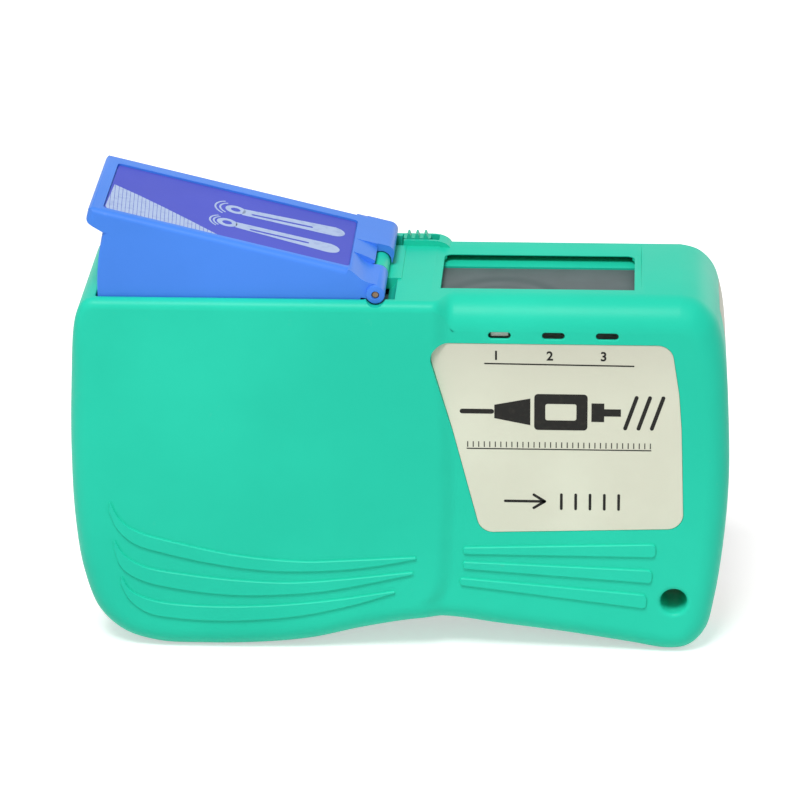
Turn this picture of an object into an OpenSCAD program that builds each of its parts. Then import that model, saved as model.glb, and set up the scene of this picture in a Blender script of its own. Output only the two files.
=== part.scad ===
// Hand-held fibre connector cleaner with a press lever and a replaceable tape cartridge.
// X runs along the case, the front face looks to -Y, Z is up, and the case stands on Z = 0.
// The origin is under the middle of the case. The lever is drawn raised, as it rests.
// The case is as long, deep and high as the lever, window, reels and mechanism in it need.

/* [Case] */
// Room between the lever's curved end and the left side
end_room = 6.1; // [5.6:0.1:7]
// Room between the hinge pin and the window
hinge_room = 11.35; // [11:0.05:13]
// Room between the window and the right side, for the strap hole
strap_room = 17.65; // [16:0.05:20]
// Room under the supply reel
floor_room = 5; // [4.6:0.1:6]
// Room over the supply reel, for the lever's stroke
head_room = 20.2; // [19.5:0.1:22]
// Room behind the reels, for the spring and the latch
rear_room = 8; // [7.6:0.1:10]
// Wall of the moulded shells
wall = 2; // [1.8:0.1:2.2]
// How far the grip ribs stand out
rib_h = 0.4; // [0.3:0.05:0.6]
// How far the left face stands in front of the right face
step_h = 1; // [0.6:0.1:1.3]
// Edge radius along the sides and the bottom
side_r = 4.2; // [3:0.2:4.6]
// Edge radius along the top of the left part
lobe_top_r = 1.8; // [1.4:0.1:2.2]
// Edge radius along the top of the right part
right_top_r = 5.6; // [4:0.2:6]
// Edge radius round the back
rear_r = 1.6; // [1:0.1:2.6]
// Radius of the hole for a wrist strap
strap_r = 2.43; // [2:0.01:2.8]
// Wall round the strap hole
strap_wall = 1.6; // [1.2:0.1:2]
// Running gap between the case and what lies in it
gap = 0.3; // [0.2:0.05:0.35]

/* [Window] */
// Length of the cleaning window
window_w = 34.9; // [30:0.1:40]
// Depth of the cleaning window
window_d = 18.8; // [17:0.2:19.4]
// How deep the top is dished behind the window
dish_h = 0.5; // [0.3:0.1:0.6]
// Thickness of the top wall round the window
rim_t = 0.7; // [0.5:0.1:0.8]
// Length of an indicator slot
slot_w = 4.05; // [3.6:0.05:4.6]
// Height of an indicator slot
slot_h = 1.25; // [1:0.05:1.5]
// Spacing of the indicator slots
slot_pitch = 9.65; // [9:0.05:10.4]

/* [Lever] */
// Rest angle of the raised lever
lever_angle = 13.7; // [12:0.1:14.5]
// Length of the lever from its pin to the curved end wall
lever_r = 50; // [44:0.5:56]
// Height of the lever top above its pin
lever_top = 3.2; // [2.9:0.1:3.5]
// Wall of the lever
lever_wall = 1.5; // [1.2:0.1:1.6]
// How far the finger lip stands out past the end wall
lip_w = 3.4; // [2.6:0.1:3.6]
// Depth of the lever's label pocket
label_pocket = 0.6; // [0.5:0.05:0.8]
// Radius of the hinge pin
pin_r = 0.65; // [0.55:0.05:0.8]
// Outer radius of the hinge knuckles
knuckle_r = 1.7; // [1.6:0.1:1.8]

/* [Cartridge] */
// Radius of the supply reel
supply_r = 22; // [19:0.5:25]
// Radius of the take-up reel
takeup_r = 19; // [16:0.5:21]
// How far the new tape stays inside the supply reel's edge
supply_spare = 3.5; // [3:0.5:8]
// Thickness of the used tape on the take-up reel
used_tape = 3; // [1.5:0.5:6]
// Width of the cleaning tape
tape_w = 13; // [11:0.5:15]
// Thickness of the cleaning tape
tape_t = 0.3; // [0.2:0.05:0.4]
// Thickness of a reel flange
flange_t = 1; // [0.8:0.1:1.2]
// Radius of a reel hub
hub_r = 7; // [6.5:0.5:7.5]
// Radius of a guide roller
roller_r = 2.2; // [2:0.1:2.4]
// Thickness of the cartridge plate
frame_t = 1.3; // [1.1:0.1:1.5]

/* [Mechanism] */
// Radius of the ratchet wheel over its teeth
ratchet_r = 10; // [9:0.2:10.4]
// Number of ratchet teeth
ratchet_teeth = 13; // [11:1:16]
// Thickness of the ratchet wheel and its pawls
ratchet_t = 1.4; // [1.2:0.1:1.5]
// Swing of the shutter crank either side of upright
crank_swing = 37.5; // [34:0.5:38]
// Length of the shutter crank's long arm
crank_l = 22.8; // [22:0.2:24]
// Length of the shutter crank's short arm
crank_s = 5; // [4.8:0.1:5.2]
// Thickness of the crank and of the shutter's tab
crank_t = 1.1; // [1:0.05:1.2]
// Thickness of the shutter
shutter_t = 0.8; // [0.6:0.1:0.9]
// Travel of the cover latch
latch_travel = 1.3; // [1:0.1:1.4]

/* [Hidden] */
$fn = 48;

// Overrun of a cut or a foot past the face that it meets
over = 0.5;
// Clearance of a pin in its bore, and of two flat faces that slide
fit = 0.06;
slide = 0.1;
// Play in front of the mechanism, of the tab behind the crank and before the cartridge plate and reels
mech_room = 1;
tab_play = 0.2;
frame_play = 0.4;
reel_play = 0.5;
body_w = end_room + lever_r + hinge_room + window_w + strap_room;
body_d = rib_h + step_h + wall + mech_room + 2 * crank_t + tab_play + frame_play + frame_t + reel_play
    + 2 * flange_t + tape_w + rear_room + wall;
case_h = floor_room + 2 * supply_r + head_room;
half_w = body_w / 2;
y_back = body_d / 2;
y_rib = -body_d / 2;
y_lobe = y_rib + rib_h;
y_right = y_lobe + step_h;
y_cavity = y_right + wall;
y_lobe_cavity = y_lobe + wall;
y_inner_back = y_back - wall;
z_top = case_h;

// The pin, the window and its slots, and the seam between the two mouldings
hinge_x = end_room + lever_r - half_w;
hinge_up = 1.05;
hinge_z = z_top + hinge_up;
seam_y = 16;
part_y = y_back - wall - seam_y;
part_down = 6.4;
part_z = z_top - part_down;
window_front = 8;
window_x0 = hinge_x + hinge_room;
window_x1 = window_x0 + window_w;

// The stack from front to back: crank, tab of the shutter, cartridge plate, reels
mech_y0 = y_cavity + mech_room;
crank_y1 = mech_y0 + crank_t;
tab_y0 = crank_y1 + tab_play;
tab_y1 = tab_y0 + crank_t;
frame_y0 = tab_y1 + frame_play;
frame_y1 = frame_y0 + frame_t;
reel_y0 = frame_y1 + reel_play;
tape_y = reel_y0 + flange_t + tape_w / 2;
reel_y1 = reel_y0 + 2 * flange_t + tape_w;
window_y0 = tape_y - window_front;
window_y1 = window_y0 + window_d;

// Outline of the case as shares of its half length and its height: left side from the top down,
// then the bottom from left to right, then the right side from the bottom up
left_shares = [[-0.912, 1], [-0.933, 0.995], [-0.949, 0.983], [-0.961, 0.962], [-0.974, 0.917],
    [-0.992, 0.744], [-1, 0.556], [-0.996, 0.361], [-0.975, 0.21], [-0.932, 0.1]];
bottom_shares = [[-0.858, 0.036], [-0.75, 0.005], [-0.608, 0], [-0.442, 0.004], [-0.275, 0.02],
    [-0.125, 0.052], [0, 0.074], [0.067, 0.082], [0.133, 0.084], [0.2, 0.079], [0.283, 0.068],
    [0.508, 0.043], [0.7, 0.017], [0.825, 0.0005], [0.888, 0.011]];
right_shares = [[0.938, 0.058], [0.963, 0.145], [0.987, 0.303], [1, 0.491], [0.995, 0.665],
    [0.982, 0.831], [0.967, 0.9], [0.947, 0.947], [0.904, 0.985], [0.845, 1]];
curve_steps = 3;
front_rings = 4;
rear_rings = 3;
cap_n = 6;
side_n = (len(left_shares) - 1) * curve_steps;
base_n = (len(bottom_shares) + 1) * curve_steps;

// A smooth stretch from b to c, with a and d as the points beyond it
function stretch(a, b, c, d, t) =
    let (p = sqrt(norm(b - a)), q = sqrt(norm(c - b)), r = sqrt(norm(d - c)),
        m = (c - b) + q * ((b - a) / p - (c - a) / (p + q)),
        n = (c - b) + q * ((d - c) / r - (d - b) / (q + r)))
    b * (2 * t * t * t - 3 * t * t + 1) + m * (t * t * t - 2 * t * t + t)
    + c * (3 * t * t - 2 * t * t * t) + n * (t * t * t - t * t);
// A smooth curve through every point of a list but its first and last
function curve(pts) = concat([for (i = [1 : len(pts) - 3], s = [0 : curve_steps - 1])
    stretch(pts[i - 1], pts[i], pts[i + 1], pts[i + 2], s / curve_steps)], [pts[len(pts) - 2]]);
function soft(t) = let (c = max(0, min(1, t))) c * c * (3 - 2 * c);
function mix(a, b, t) = a + (b - a) * t;
function sized(shares) = [for (s = shares) [s[0] * half_w, s[1] * case_h]];

knots = concat(sized(left_shares), sized(bottom_shares), sized(right_shares));
last_knot = knots[len(knots) - 1];
path = curve(concat([knots[0] + [norm(knots[1] - knots[0]), 0]], knots,
    [last_knot - [norm(last_knot - knots[len(knots) - 2]), 0]]));
function bottom_at(u) = path[side_n + u];
function left_at(v) = path[side_n - v];
function right_at(v) = path[side_n + base_n + v];
function top_at(u) = let (t = (bottom_at(u)[0] - bottom_at(0)[0]) / (bottom_at(base_n)[0] - bottom_at(0)[0]))
    mix(left_at(side_n), right_at(side_n), t);
outline_n = 2 * (base_n + side_n);
outline = [for (i = [0 : outline_n - 1])
    i < base_n ? bottom_at(i) :
    i < base_n + side_n ? right_at(i - base_n) :
    i < 2 * base_n + side_n ? top_at(2 * base_n + side_n - i) : left_at(outline_n - i)];
function inward(i) = let (d = outline[(i + 1) % outline_n] - outline[(i + outline_n - 1) % outline_n])
    [-d[1], d[0]] / norm(d);

// Where the left face steps back to the right face: a line that leans with height and curls under
step_in = 0.85;
step_lean = 1.2;
step_curl = 8.4;
step_soft = 3.2;
curl_z = 16;
step_x = window_x0 + step_in;
top_start_share = 0.72;
top_blend_share = 0.25;
function step_line(z) = step_x + step_lean * (soft(1 - abs(z - case_h / 2) / (case_h / 2)) - 1 / 2);
function past_step(p) = p[1] > curl_z ? p[0] - step_line(p[1]) :
    p[0] > step_x - step_curl ? norm([p[0] - step_x + step_curl, p[1] - curl_z]) - step_curl :
    -step_soft;
function stepped(p) = soft(past_step(p) / step_soft + 1 / 2);
function face_y(p) = mix(y_lobe, y_right, stepped(p));
function edge_r(p) = mix(side_r, mix(lobe_top_r, right_top_r, soft((p[0] - step_x) / step_soft + 1 / 2)),
    soft((p[1] / case_h - top_start_share) / top_blend_share));
inner = [for (i = [0 : outline_n - 1]) outline[i] + inward(i) * edge_r(outline[i])];
face = [for (p = inner) face_y(p)];

// The moulded skin: rings that round the front edge, straight sides, rings that round the back
function front_ring(k) = let (a = 90 * k / front_rings) [for (i = [0 : outline_n - 1])
    let (r = edge_r(outline[i]), p = outline[i] + inward(i) * r * (1 - cos(a)))
    [p[0], face[i] + r * (1 - sin(a)), p[1]]];
function rear_ring(k) = let (a = 90 * k / rear_rings) [for (i = [0 : outline_n - 1])
    let (r = min(rear_r, edge_r(outline[i])), p = outline[i] + inward(i) * r * (1 - cos(a)))
    [p[0], y_back - r * (1 - sin(a)), p[1]]];
function patch(u, v) = let (
    s = (inner[u][0] - inner[0][0]) / (inner[base_n][0] - inner[0][0]),
    t = (inner[base_n + v][1] - inner[base_n][1]) / (inner[base_n + side_n][1] - inner[base_n][1]),
    b = inner[u], c = inner[2 * base_n + side_n - u],
    l = inner[(outline_n - v) % outline_n], r = inner[base_n + v],
    flat = mix(mix(inner[0], inner[base_n], s),
        mix(inner[2 * base_n + side_n], inner[base_n + side_n], s), t),
    p = mix(b, c, t) + mix(l, r, s) - flat)
    [p[0], face_y(p), p[1]];
// The flat back is closed by two fans round these centres, with a strip between them
fan_share = 0.85;
skin_loops = front_rings + rear_rings + 2;
skin_points = concat(
    [for (k = [0 : front_rings]) each front_ring(front_rings - k)],
    [for (k = [0 : rear_rings]) each rear_ring(k)],
    [for (u = [1 : base_n - 1], v = [1 : side_n - 1]) patch(u, v)],
    [for (s = [-1, 1]) [s * fan_share * half_w, y_back, case_h / 2]]);
function spot(u, v) = v == 0 ? u : u == base_n ? base_n + v :
    v == side_n ? 2 * base_n + side_n - u : u == 0 ? outline_n - v :
    skin_loops * outline_n + (u - 1) * (side_n - 1) + v - 1;
function back(i) = (skin_loops - 1) * outline_n + i % outline_n;
left_fan = len(skin_points) - 2;
right_fan = len(skin_points) - 1;
skin_faces = concat(
    [for (k = [0 : skin_loops - 2], i = [0 : outline_n - 1], h = [0, 1])
        let (a = k * outline_n + i, b = k * outline_n + (i + 1) % outline_n)
        h == 0 ? [a, b, b + outline_n] : [a, b + outline_n, a + outline_n]],
    [for (u = [0 : base_n - 1], v = [0 : side_n - 1], h = [0, 1])
        h == 0 ? [spot(u, v), spot(u, v + 1), spot(u + 1, v + 1)]
        : [spot(u, v), spot(u + 1, v + 1), spot(u + 1, v)]],
    [for (u = [cap_n : base_n - cap_n - 1], h = [0, 1]) let (c = 2 * base_n + side_n - u)
        h == 0 ? [back(u), back(u + 1), back(c - 1)] : [back(u), back(c - 1), back(c)]],
    [for (i = [2 * base_n + side_n - cap_n : outline_n + cap_n - 1]) [left_fan, back(i), back(i + 1)]],
    [[left_fan, back(cap_n), back(2 * base_n + side_n - cap_n)]],
    [for (i = [base_n - cap_n : base_n + side_n + cap_n - 1]) [right_fan, back(i), back(i + 1)]],
    [[right_fan, back(base_n + side_n + cap_n), back(base_n - cap_n)]]);
module skin() { polyhedron(skin_points, skin_faces); }

// A flat shape in X and Z drawn out along Y, one in Y and Z drawn out along X, and a plain block
module along_y(y0, y1) {
    translate([0, y1, 0]) rotate([90, 0, 0]) linear_extrude(y1 - y0) children();
}
module along_x(x0, x1) {
    translate([x0, 0, 0]) rotate([90, 0, 90]) linear_extrude(x1 - x0) children();
}
module block(x0, x1, y0, y1, z0, z1) {
    translate([x0, y0, z0]) cube([x1 - x0, y1 - y0, z1 - z0]);
}
module rod(x, z, y0, y1, r) {
    translate([x, y1, z]) rotate([90, 0, 0]) cylinder(h = y1 - y0, r = r);
}
module ring(x, z, y0, y1, r, bore) {
    difference() {
        rod(x, z, y0, y1, r);
        rod(x, z, y0 - over, y1 + over, bore);
    }
}
module rounded(w, h, r) {
    offset(r = r) square([w - 2 * r, h - 2 * r], center = true);
}
module inside_outline(inset) {
    offset(delta = -inset) polygon(outline);
}

// Places of the slots, the shutter, the strap hole, the reels and the rollers
slot_in = 10.85;
slot_down = 6.3;
slot_x = window_x0 + slot_in;
slot_z = z_top - slot_down;
shutter_down = 2.1;
shutter_z = z_top - shutter_down;
shutter_ledge = 2.9;
shutter_y0 = window_y0 + slide;
shutter_y1 = window_y1 - shutter_ledge;
strap_in = 9.7;
strap_z = 10.8;
strap_x = half_w - strap_in;
// The strap hole is wider behind the seam, where the knot of the cord sits
knot_room = 1.2;
knot_r = strap_r + knot_room;
reel_side = 6;
reel_apart = 13;
takeup_up = 3;
supply_x = -half_w + wall + reel_side + supply_r;
supply_z = floor_room + supply_r;
takeup_x = supply_x + supply_r + reel_apart + takeup_r;
takeup_z = supply_z + takeup_up;
tape_down = 5.3;
tape_z = z_top - tape_down;
roller_out = 4.6;
roller_z = tape_z - roller_r;
roller_x0 = window_x0 - roller_out;
roller_x1 = window_x1 + roller_out;

// The well that the lever sinks into, and the lever's knuckles along the pin
well_play = 0.4;
well_side = 0.2;
well_end = 1.9;
lever_front = 2.3;
lever_back = 1.8;
well_x0 = hinge_x - lever_r - well_play;
well_x1 = hinge_x - well_end;
lever_y0 = y_lobe + lever_front;
lever_y1 = y_back - lever_back;
well_y0 = lever_y0 - well_side;
well_y1 = lever_y1 + well_side;
knuckle_out = 0.9;
knuckle_w = 10.9;
rear_knuckle_w = 2.3;
knuckle_y0 = lever_y0 - knuckle_out;
knuckle_y1 = knuckle_y0 + knuckle_w;
knuckle_y2 = lever_y1 - rear_knuckle_w;
trough_r = 3.6;

// The shutter crank: its tip in the shutter's tab, its pivot, and the pin that the lever pushes
tip_in = 7.22;
tip_down = 5.01;
tip_r = 1;
push_r = 1.2;
tip_x = hinge_x - tip_in;
tip_z = shutter_z - tip_down;
crank_x = tip_x - crank_l * sin(crank_swing);
crank_z = tip_z - crank_l * cos(crank_swing);
push_pin = [crank_x - crank_s * cos(crank_swing), crank_z + crank_s * sin(crank_swing)];
screw_r = 1.2;
screw_core = 0.9;
core_fit = 0.02;
head_r = 1.9;
head_t = 0.5;
boss_wall = 1.3;

// The return spring between its shelf and the lever
spring_in = 15.1;
spring_behind = 3.4;
spring_y = reel_y1 + spring_behind;
shelf_up = 0.7;
shelf_w = 5.2;
spring_x = hinge_x - spring_in;
spring_z = part_z + shelf_up;

// The front moulding: the whole skin less the cover's share, its hollow, well, window and slots
label_shares = [[0.0825, 0.8873], [0.82, 0.8873], [0.845, 0.75], [0.8542, 0.65], [0.865, 0.367],
    [0.2483, 0.3497], [0.1633, 0.642]];
label_r = 3;
label_t = 0.35;
module label_shape(inset) {
    offset(r = label_r - inset) offset(delta = -label_r) polygon(sized(label_shares));
}
module stadium(w, h) {
    square([w - h, h], center = true);
    for (s = [-1, 1]) translate([s * (w - h) / 2, 0]) circle(h / 2);
}
// The top wall is two walls deep but for the thin rim round the window
brow = 2 * wall;
rim_side = 1;
rim_edge = 0.15;
rim_slope = 1.6;
module case_hollow() {
    along_y(y_cavity, y_inner_back) intersection() {
        inside_outline(wall);
        translate([-half_w, 0]) square([body_w, z_top - wall]);
    }
    along_y(y_lobe_cavity, y_cavity + over) intersection() {
        inside_outline(wall);
        translate([-half_w, 0]) square([half_w + step_x - step_curl + step_soft, z_top - wall]);
    }
    block(window_x0 - rim_side, window_x1 + rim_side, window_y0 - rim_side, y_inner_back, z_top - brow,
        z_top - dish_h - rim_t);
    along_x(window_x0 - rim_side, window_x1 + rim_side) polygon([
        [window_y1 - over, z_top - dish_h - rim_t - over], [window_y1 - over, z_top - dish_h - rim_edge],
        [window_y1, z_top - dish_h - rim_edge], [window_y1 + rim_slope, z_top - dish_h - rim_t],
        [window_y1 + rim_slope, z_top - dish_h - rim_t - over]]);
}
module cover_share(clear) {
    block(-half_w - over, half_w + over, part_y + clear, y_back + over, -over, part_z - clear);
}
dish_side = 1.4;
dish_end = 1.3;
dish_edge = 0.2;
module dish() {
    intersection() {
        along_x(window_x0 - dish_side, window_x1 + dish_end) polygon([[window_y0, z_top],
            [window_y1, z_top - dish_h], [y_back - rear_r, z_top],
            [y_back - rear_r, z_top + over], [window_y0, z_top + over]]);
        along_y(window_y0 - over, y_back) polygon([[window_x0 - dish_side, z_top + over],
            [window_x0 - dish_side, z_top], [window_x0, z_top - dish_h],
            [window_x1 + dish_end - dish_edge, z_top - dish_h], [window_x1 + dish_end, z_top],
            [window_x1 + dish_end, z_top + over]]);
    }
}
window_corner = 1.5;
module window_cut() {
    translate([window_x0, window_y0, z_top - dish_h - rim_t - over]) linear_extrude(dish_h + rim_t + 2 * over)
        union() {
            translate([window_w / 2, window_d / 2]) rounded(window_w, window_d, window_corner);
            square([window_w, window_corner * 2]);
        }
}
// The hump that carries the latch rises behind the window's left end and rounds off to the right
hump_h = 1.1;
hump_d = 4;
hump_left = 0.9;
hump_end = 1.15;
hump_round = 3.6;
hump_steps = 5;
hump_x1 = window_x0 + hump_end;
latch_w = 5;
latch_d = 2.2;
latch_in = 6.05;
latch_x = hinge_x + latch_in;
latch_y = y_back - wall;
module hump() {
    along_y(y_back - hump_d, y_back - rear_r / 2) polygon(concat(
        [[hinge_x + hump_left, z_top - wall / 2], [hinge_x + hump_left, z_top + hump_h]],
        [for (i = [0 : hump_steps]) let (a = 90 * i / hump_steps)
            [hump_x1 - hump_round * (1 - sin(a)), z_top - wall / 2 + (hump_h + wall / 2) * cos(a)]]));
}
// Posts that locate the cartridge, as shares of the reels' radii, and the bosses of shaft and pawl
post_r = 2;
post_share = 0.64;
takeup_post_share = 0.68;
posts = [[supply_x - supply_r * post_share, supply_z - supply_r * post_share],
    [supply_x + supply_r * post_share, supply_z - supply_r * post_share],
    [takeup_x + takeup_r * takeup_post_share, takeup_z - takeup_r * takeup_post_share]];
post_gap = 0.05;
stop_out = 14.5;
stop_up = 12.5;
stop_x = takeup_x + stop_out;
stop_z = takeup_z + stop_up;
stop_boss_r = 1.8;
shaft_r = 2;
screw_seat = 0.4;
post_out = 3.5;
post_drop = 8;
crank_post = [crank_x + post_out, crank_z - post_drop];
bracket_w = 4;
bracket_foot = 3.5;
trough_lip = 0.1;
module front_case() {
    color("mediumaquamarine") difference() {
        union() {
            difference() {
                skin();
                case_hollow();
                cover_share(0);
                dish();
            }
            hump();
            case_knuckle();
            case_inside();
        }
        block(well_x0, well_x1, well_y0, well_y1, z_top - brow, z_top + over);
        difference() {
            rod(hinge_x, hinge_z, well_y0, well_y1, trough_r);
            case_knuckle();
        }
        rod(hinge_x, hinge_z, y_lobe - over, well_y0 + over, knuckle_r + gap);
        rod(hinge_x, hinge_z, y_lobe - over, y_back, pin_r + fit);
        window_cut();
        block(latch_x - latch_w / 2 - gap, latch_x + latch_w / 2 + latch_travel + gap,
            latch_y - latch_d / 2 - gap, latch_y + latch_d / 2 + gap, z_top - brow, z_top + wall);
        for (i = [0 : 2]) translate([slot_x + i * slot_pitch, 0, slot_z])
            along_y(y_right - over, y_cavity + over) stadium(slot_w, slot_h);
        along_y(y_lobe - over, y_right + label_t) label_shape(0);
        rod(strap_x, strap_z, y_rib, part_y + over, strap_r);
        rod(takeup_x, takeup_z, y_cavity - wall / 2, mech_y0, shaft_r + fit);
        rod(stop_x, stop_z, y_cavity - screw_seat, mech_y0, screw_core + core_fit);
    }
    color("mediumaquamarine") grip_ribs();
}
module case_knuckle() {
    rod(hinge_x, hinge_z, knuckle_y1 + gap / 2, knuckle_y2 - gap / 2, knuckle_r);
    block(hinge_x - knuckle_r / 2, hinge_x + trough_r + over, knuckle_y1 + gap / 2, knuckle_y2 - gap / 2,
        z_top - wall + trough_lip, hinge_z - knuckle_r / 2);
}
// What stands on the inside of the front moulding: ledges, posts, bosses, shelf and the strap tube
ledge_side = 1.2;
ledge_gap = 0.1;
ledge_lip = 0.2;
ledge_open = 1.8;
module case_inside() {
    block(window_x0 - ledge_side, window_x1 + ledge_side, shutter_y1 + gap, y_inner_back + over,
        shutter_z - shutter_t - ledge_gap, shutter_z + ledge_lip);
    block(window_x0 + ledge_open, window_x1 + ledge_side, y_cavity - over, shutter_y0 - gap,
        shutter_z - shutter_t - ledge_gap, shutter_z + ledge_lip);
    for (p = posts) {
        rod(p[0], p[1], y_lobe_cavity - over, frame_y0 - post_gap, post_r);
        rod(p[0], p[1], frame_y0 - over, frame_y1 - slide, post_r / 2);
    }
    difference() {
        union() {
            rod(crank_post[0], crank_post[1], y_lobe_cavity - over, tab_y1, post_r);
            rod(crank_x, crank_z, tab_y0, tab_y1, screw_r + boss_wall);
            along_y(tab_y0, tab_y1) polygon([[crank_x - bracket_w / 2, crank_z],
                [crank_x + bracket_w / 2, crank_z], [crank_post[0] + bracket_foot / 2, crank_post[1]],
                [crank_post[0] - bracket_foot / 2, crank_post[1]]]);
        }
        rod(crank_x, crank_z, tab_y0 - over, tab_y1 + over, screw_core + core_fit);
    }
    rod(stop_x, stop_z, y_cavity - over, mech_y0 - gap, stop_boss_r);
    rod(takeup_x, takeup_z, y_cavity - over, mech_y0 - gap, shaft_r + wall);
    block(spring_x - shelf_w / 2, spring_x + shelf_w / 2, spring_y - shelf_w / 2, y_inner_back + over,
        part_z, spring_z);
    rod(strap_x, strap_z, y_cavity - over, part_y, strap_r + strap_wall);
}

// Grip ribs: long feathered ridges on the left face and three straight ones on the right face
rib_sink = 0.6;
lobe_rib_round = 0.2;
right_rib_round = 0.25;
lobe_rib_shares = [
    [[-0.877, 0.428], [-0.85, 0.38], [-0.802, 0.348], [-0.645, 0.309], [-0.49, 0.282], [-0.297, 0.268],
        [-0.178, 0.271], [0.05, 0.284], [0.052, 0.276], [-0.1, 0.25], [-0.257, 0.237], [-0.413, 0.237],
        [-0.57, 0.254], [-0.725, 0.285], [-0.81, 0.309], [-0.86, 0.35], [-0.882, 0.396]],
    [[-0.867, 0.318], [-0.843, 0.28], [-0.782, 0.246], [-0.648, 0.224], [-0.492, 0.21], [-0.335, 0.205],
        [-0.178, 0.217], [0.04, 0.24], [0.04, 0.232], [-0.218, 0.181], [-0.375, 0.166], [-0.532, 0.165],
        [-0.688, 0.181], [-0.798, 0.205], [-0.853, 0.24], [-0.872, 0.292]],
    [[-0.848, 0.212], [-0.825, 0.175], [-0.76, 0.147], [-0.652, 0.134], [-0.493, 0.133], [-0.337, 0.142],
        [-0.18, 0.159], [-0.015, 0.184], [-0.017, 0.177], [-0.142, 0.14], [-0.3, 0.107], [-0.457, 0.091],
        [-0.575, 0.088], [-0.692, 0.094], [-0.777, 0.108], [-0.832, 0.146], [-0.855, 0.19]]];
right_rib_shares = [
    [[0.201, 0.308], [0.77, 0.324], [0.77, 0.286], [0.201, 0.288]],
    [[0.201, 0.267], [0.759, 0.25], [0.759, 0.212], [0.201, 0.244]],
    [[0.192, 0.22], [0.743, 0.179], [0.743, 0.139], [0.192, 0.197]]];
module grip_ribs() {
    for (r = lobe_rib_shares) along_y(y_rib, y_lobe + rib_sink) offset(r = lobe_rib_round)
        offset(delta = -lobe_rib_round) polygon(sized(r));
    for (r = right_rib_shares) along_y(y_right - rib_h, y_right + rib_sink) offset(r = right_rib_round)
        offset(delta = -right_rib_round) polygon(sized(r));
}

// The rear cover: back wall and side walls of the same skin, two hooks at its foot and a catch
hook_w = 5;
hook_t = 1.2;
hook_reach = 3;
hook_z = 3.2;
hook_shares = [-0.72, 0.8];
catch_w = 1.8;
catch_d = 1.3;
catch_up = 1.6;
catch_down = 8;
catch_in = 4.9;
module rear_cover() {
    color("lightgray") difference() {
        union() {
            difference() {
                intersection() {
                    skin();
                    cover_share(gap);
                }
                along_y(part_y - over, y_inner_back) inside_outline(wall);
            }
            intersection() {
                skin();
                rod(strap_x, strap_z, part_y + gap, y_back - wall / 2, knot_r + strap_wall);
            }
            for (s = hook_shares) translate([s * half_w, 0, 0]) {
                block(-hook_w / 2, hook_w / 2, part_y - hook_reach, part_y + hook_reach, hook_z,
                    hook_z + hook_t);
                block(-hook_w / 2, hook_w / 2, part_y + gap, part_y + hook_reach, wall / 2, hook_z + hook_t);
            }
            translate([latch_x - catch_in, 0, part_z]) {
                block(0, catch_w, y_inner_back - catch_d, y_inner_back + over, -catch_down, -gap);
                block(0, catch_w, y_inner_back - catch_d, y_inner_back - gap, -catch_down, catch_up);
            }
        }
        rod(strap_x, strap_z, part_y, y_back + over, knot_r);
    }
}

// The cover latch: a ribbed slider on the hump with a stem that hooks the cover's catch
ridge_pitch = 1.55;
ridge_w = 1.1;
ridge_top = 0.3;
ridge_h = 1;
ridge_seat = 0.1;
stem_w = 2.4;
stem_down = 0.4;
hook_up = 0.9;
hook_out = 2.9;
module cover_latch() {
    y0 = latch_y - latch_d / 2;
    y1 = latch_y + latch_d / 2;
    y2 = y_inner_back - gap;
    color("mediumaquamarine") {
        block(latch_x - latch_w / 2, latch_x + latch_w / 2, y0, y1, z_top - wall + ledge_lip,
            z_top + hump_h + ridge_seat);
        for (i = [-1 : 1]) translate([latch_x + i * ridge_pitch, 0, z_top + hump_h])
            along_y(y0, y1) polygon([[-ridge_w / 2, 0], [-ridge_top / 2, ridge_h], [ridge_top / 2, ridge_h],
                [ridge_w / 2, 0]]);
        block(latch_x - stem_w / 2, latch_x + stem_w / 2, y0, y2, part_z - stem_down, z_top - wall + over);
        block(latch_x - hook_out, latch_x + stem_w / 2, y0, y2, part_z - stem_down, part_z + hook_up);
    }
}

film_edge = 0.08;
module label_plate() {
    color("beige") along_y(y_right + slide, y_right + label_t) label_shape(film_edge);
}

// The press lever, drawn level about its pin and then turned up to its rest angle.
// Along it s is the distance from the pin, counted to the left as minus, and n is the height
skirt_in = 1;
skirt_end = 6;
skirt_h = 14;
skirt_rise = 3.5;
skirt_x0 = skirt_in - lever_r;
top_r = 1.2;
plate_t = 1.8;
under_plate = lever_top - plate_t;
rear_step = 0.7;
eye_r = 2.3;
nose = 1.3;
lip_root = 2;
lip_low = 0.8;
lip_tip = 0.3;
pocket_start = 5.6;
pocket_end = 0.9;
pocket_s0 = -lever_r - pocket_end;
pocket_s1 = -pocket_start;
pocket_front = 1.9;
pocket_back = 3.8;
label_y0 = lever_y0 + pocket_front;
label_y1 = lever_y1 - pocket_back;
film_t = 0.3;
module at_hinge() {
    translate([hinge_x, 0, hinge_z]) children();
}
module raised() {
    at_hinge() rotate([0, lever_angle, 0]) children();
}
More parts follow.
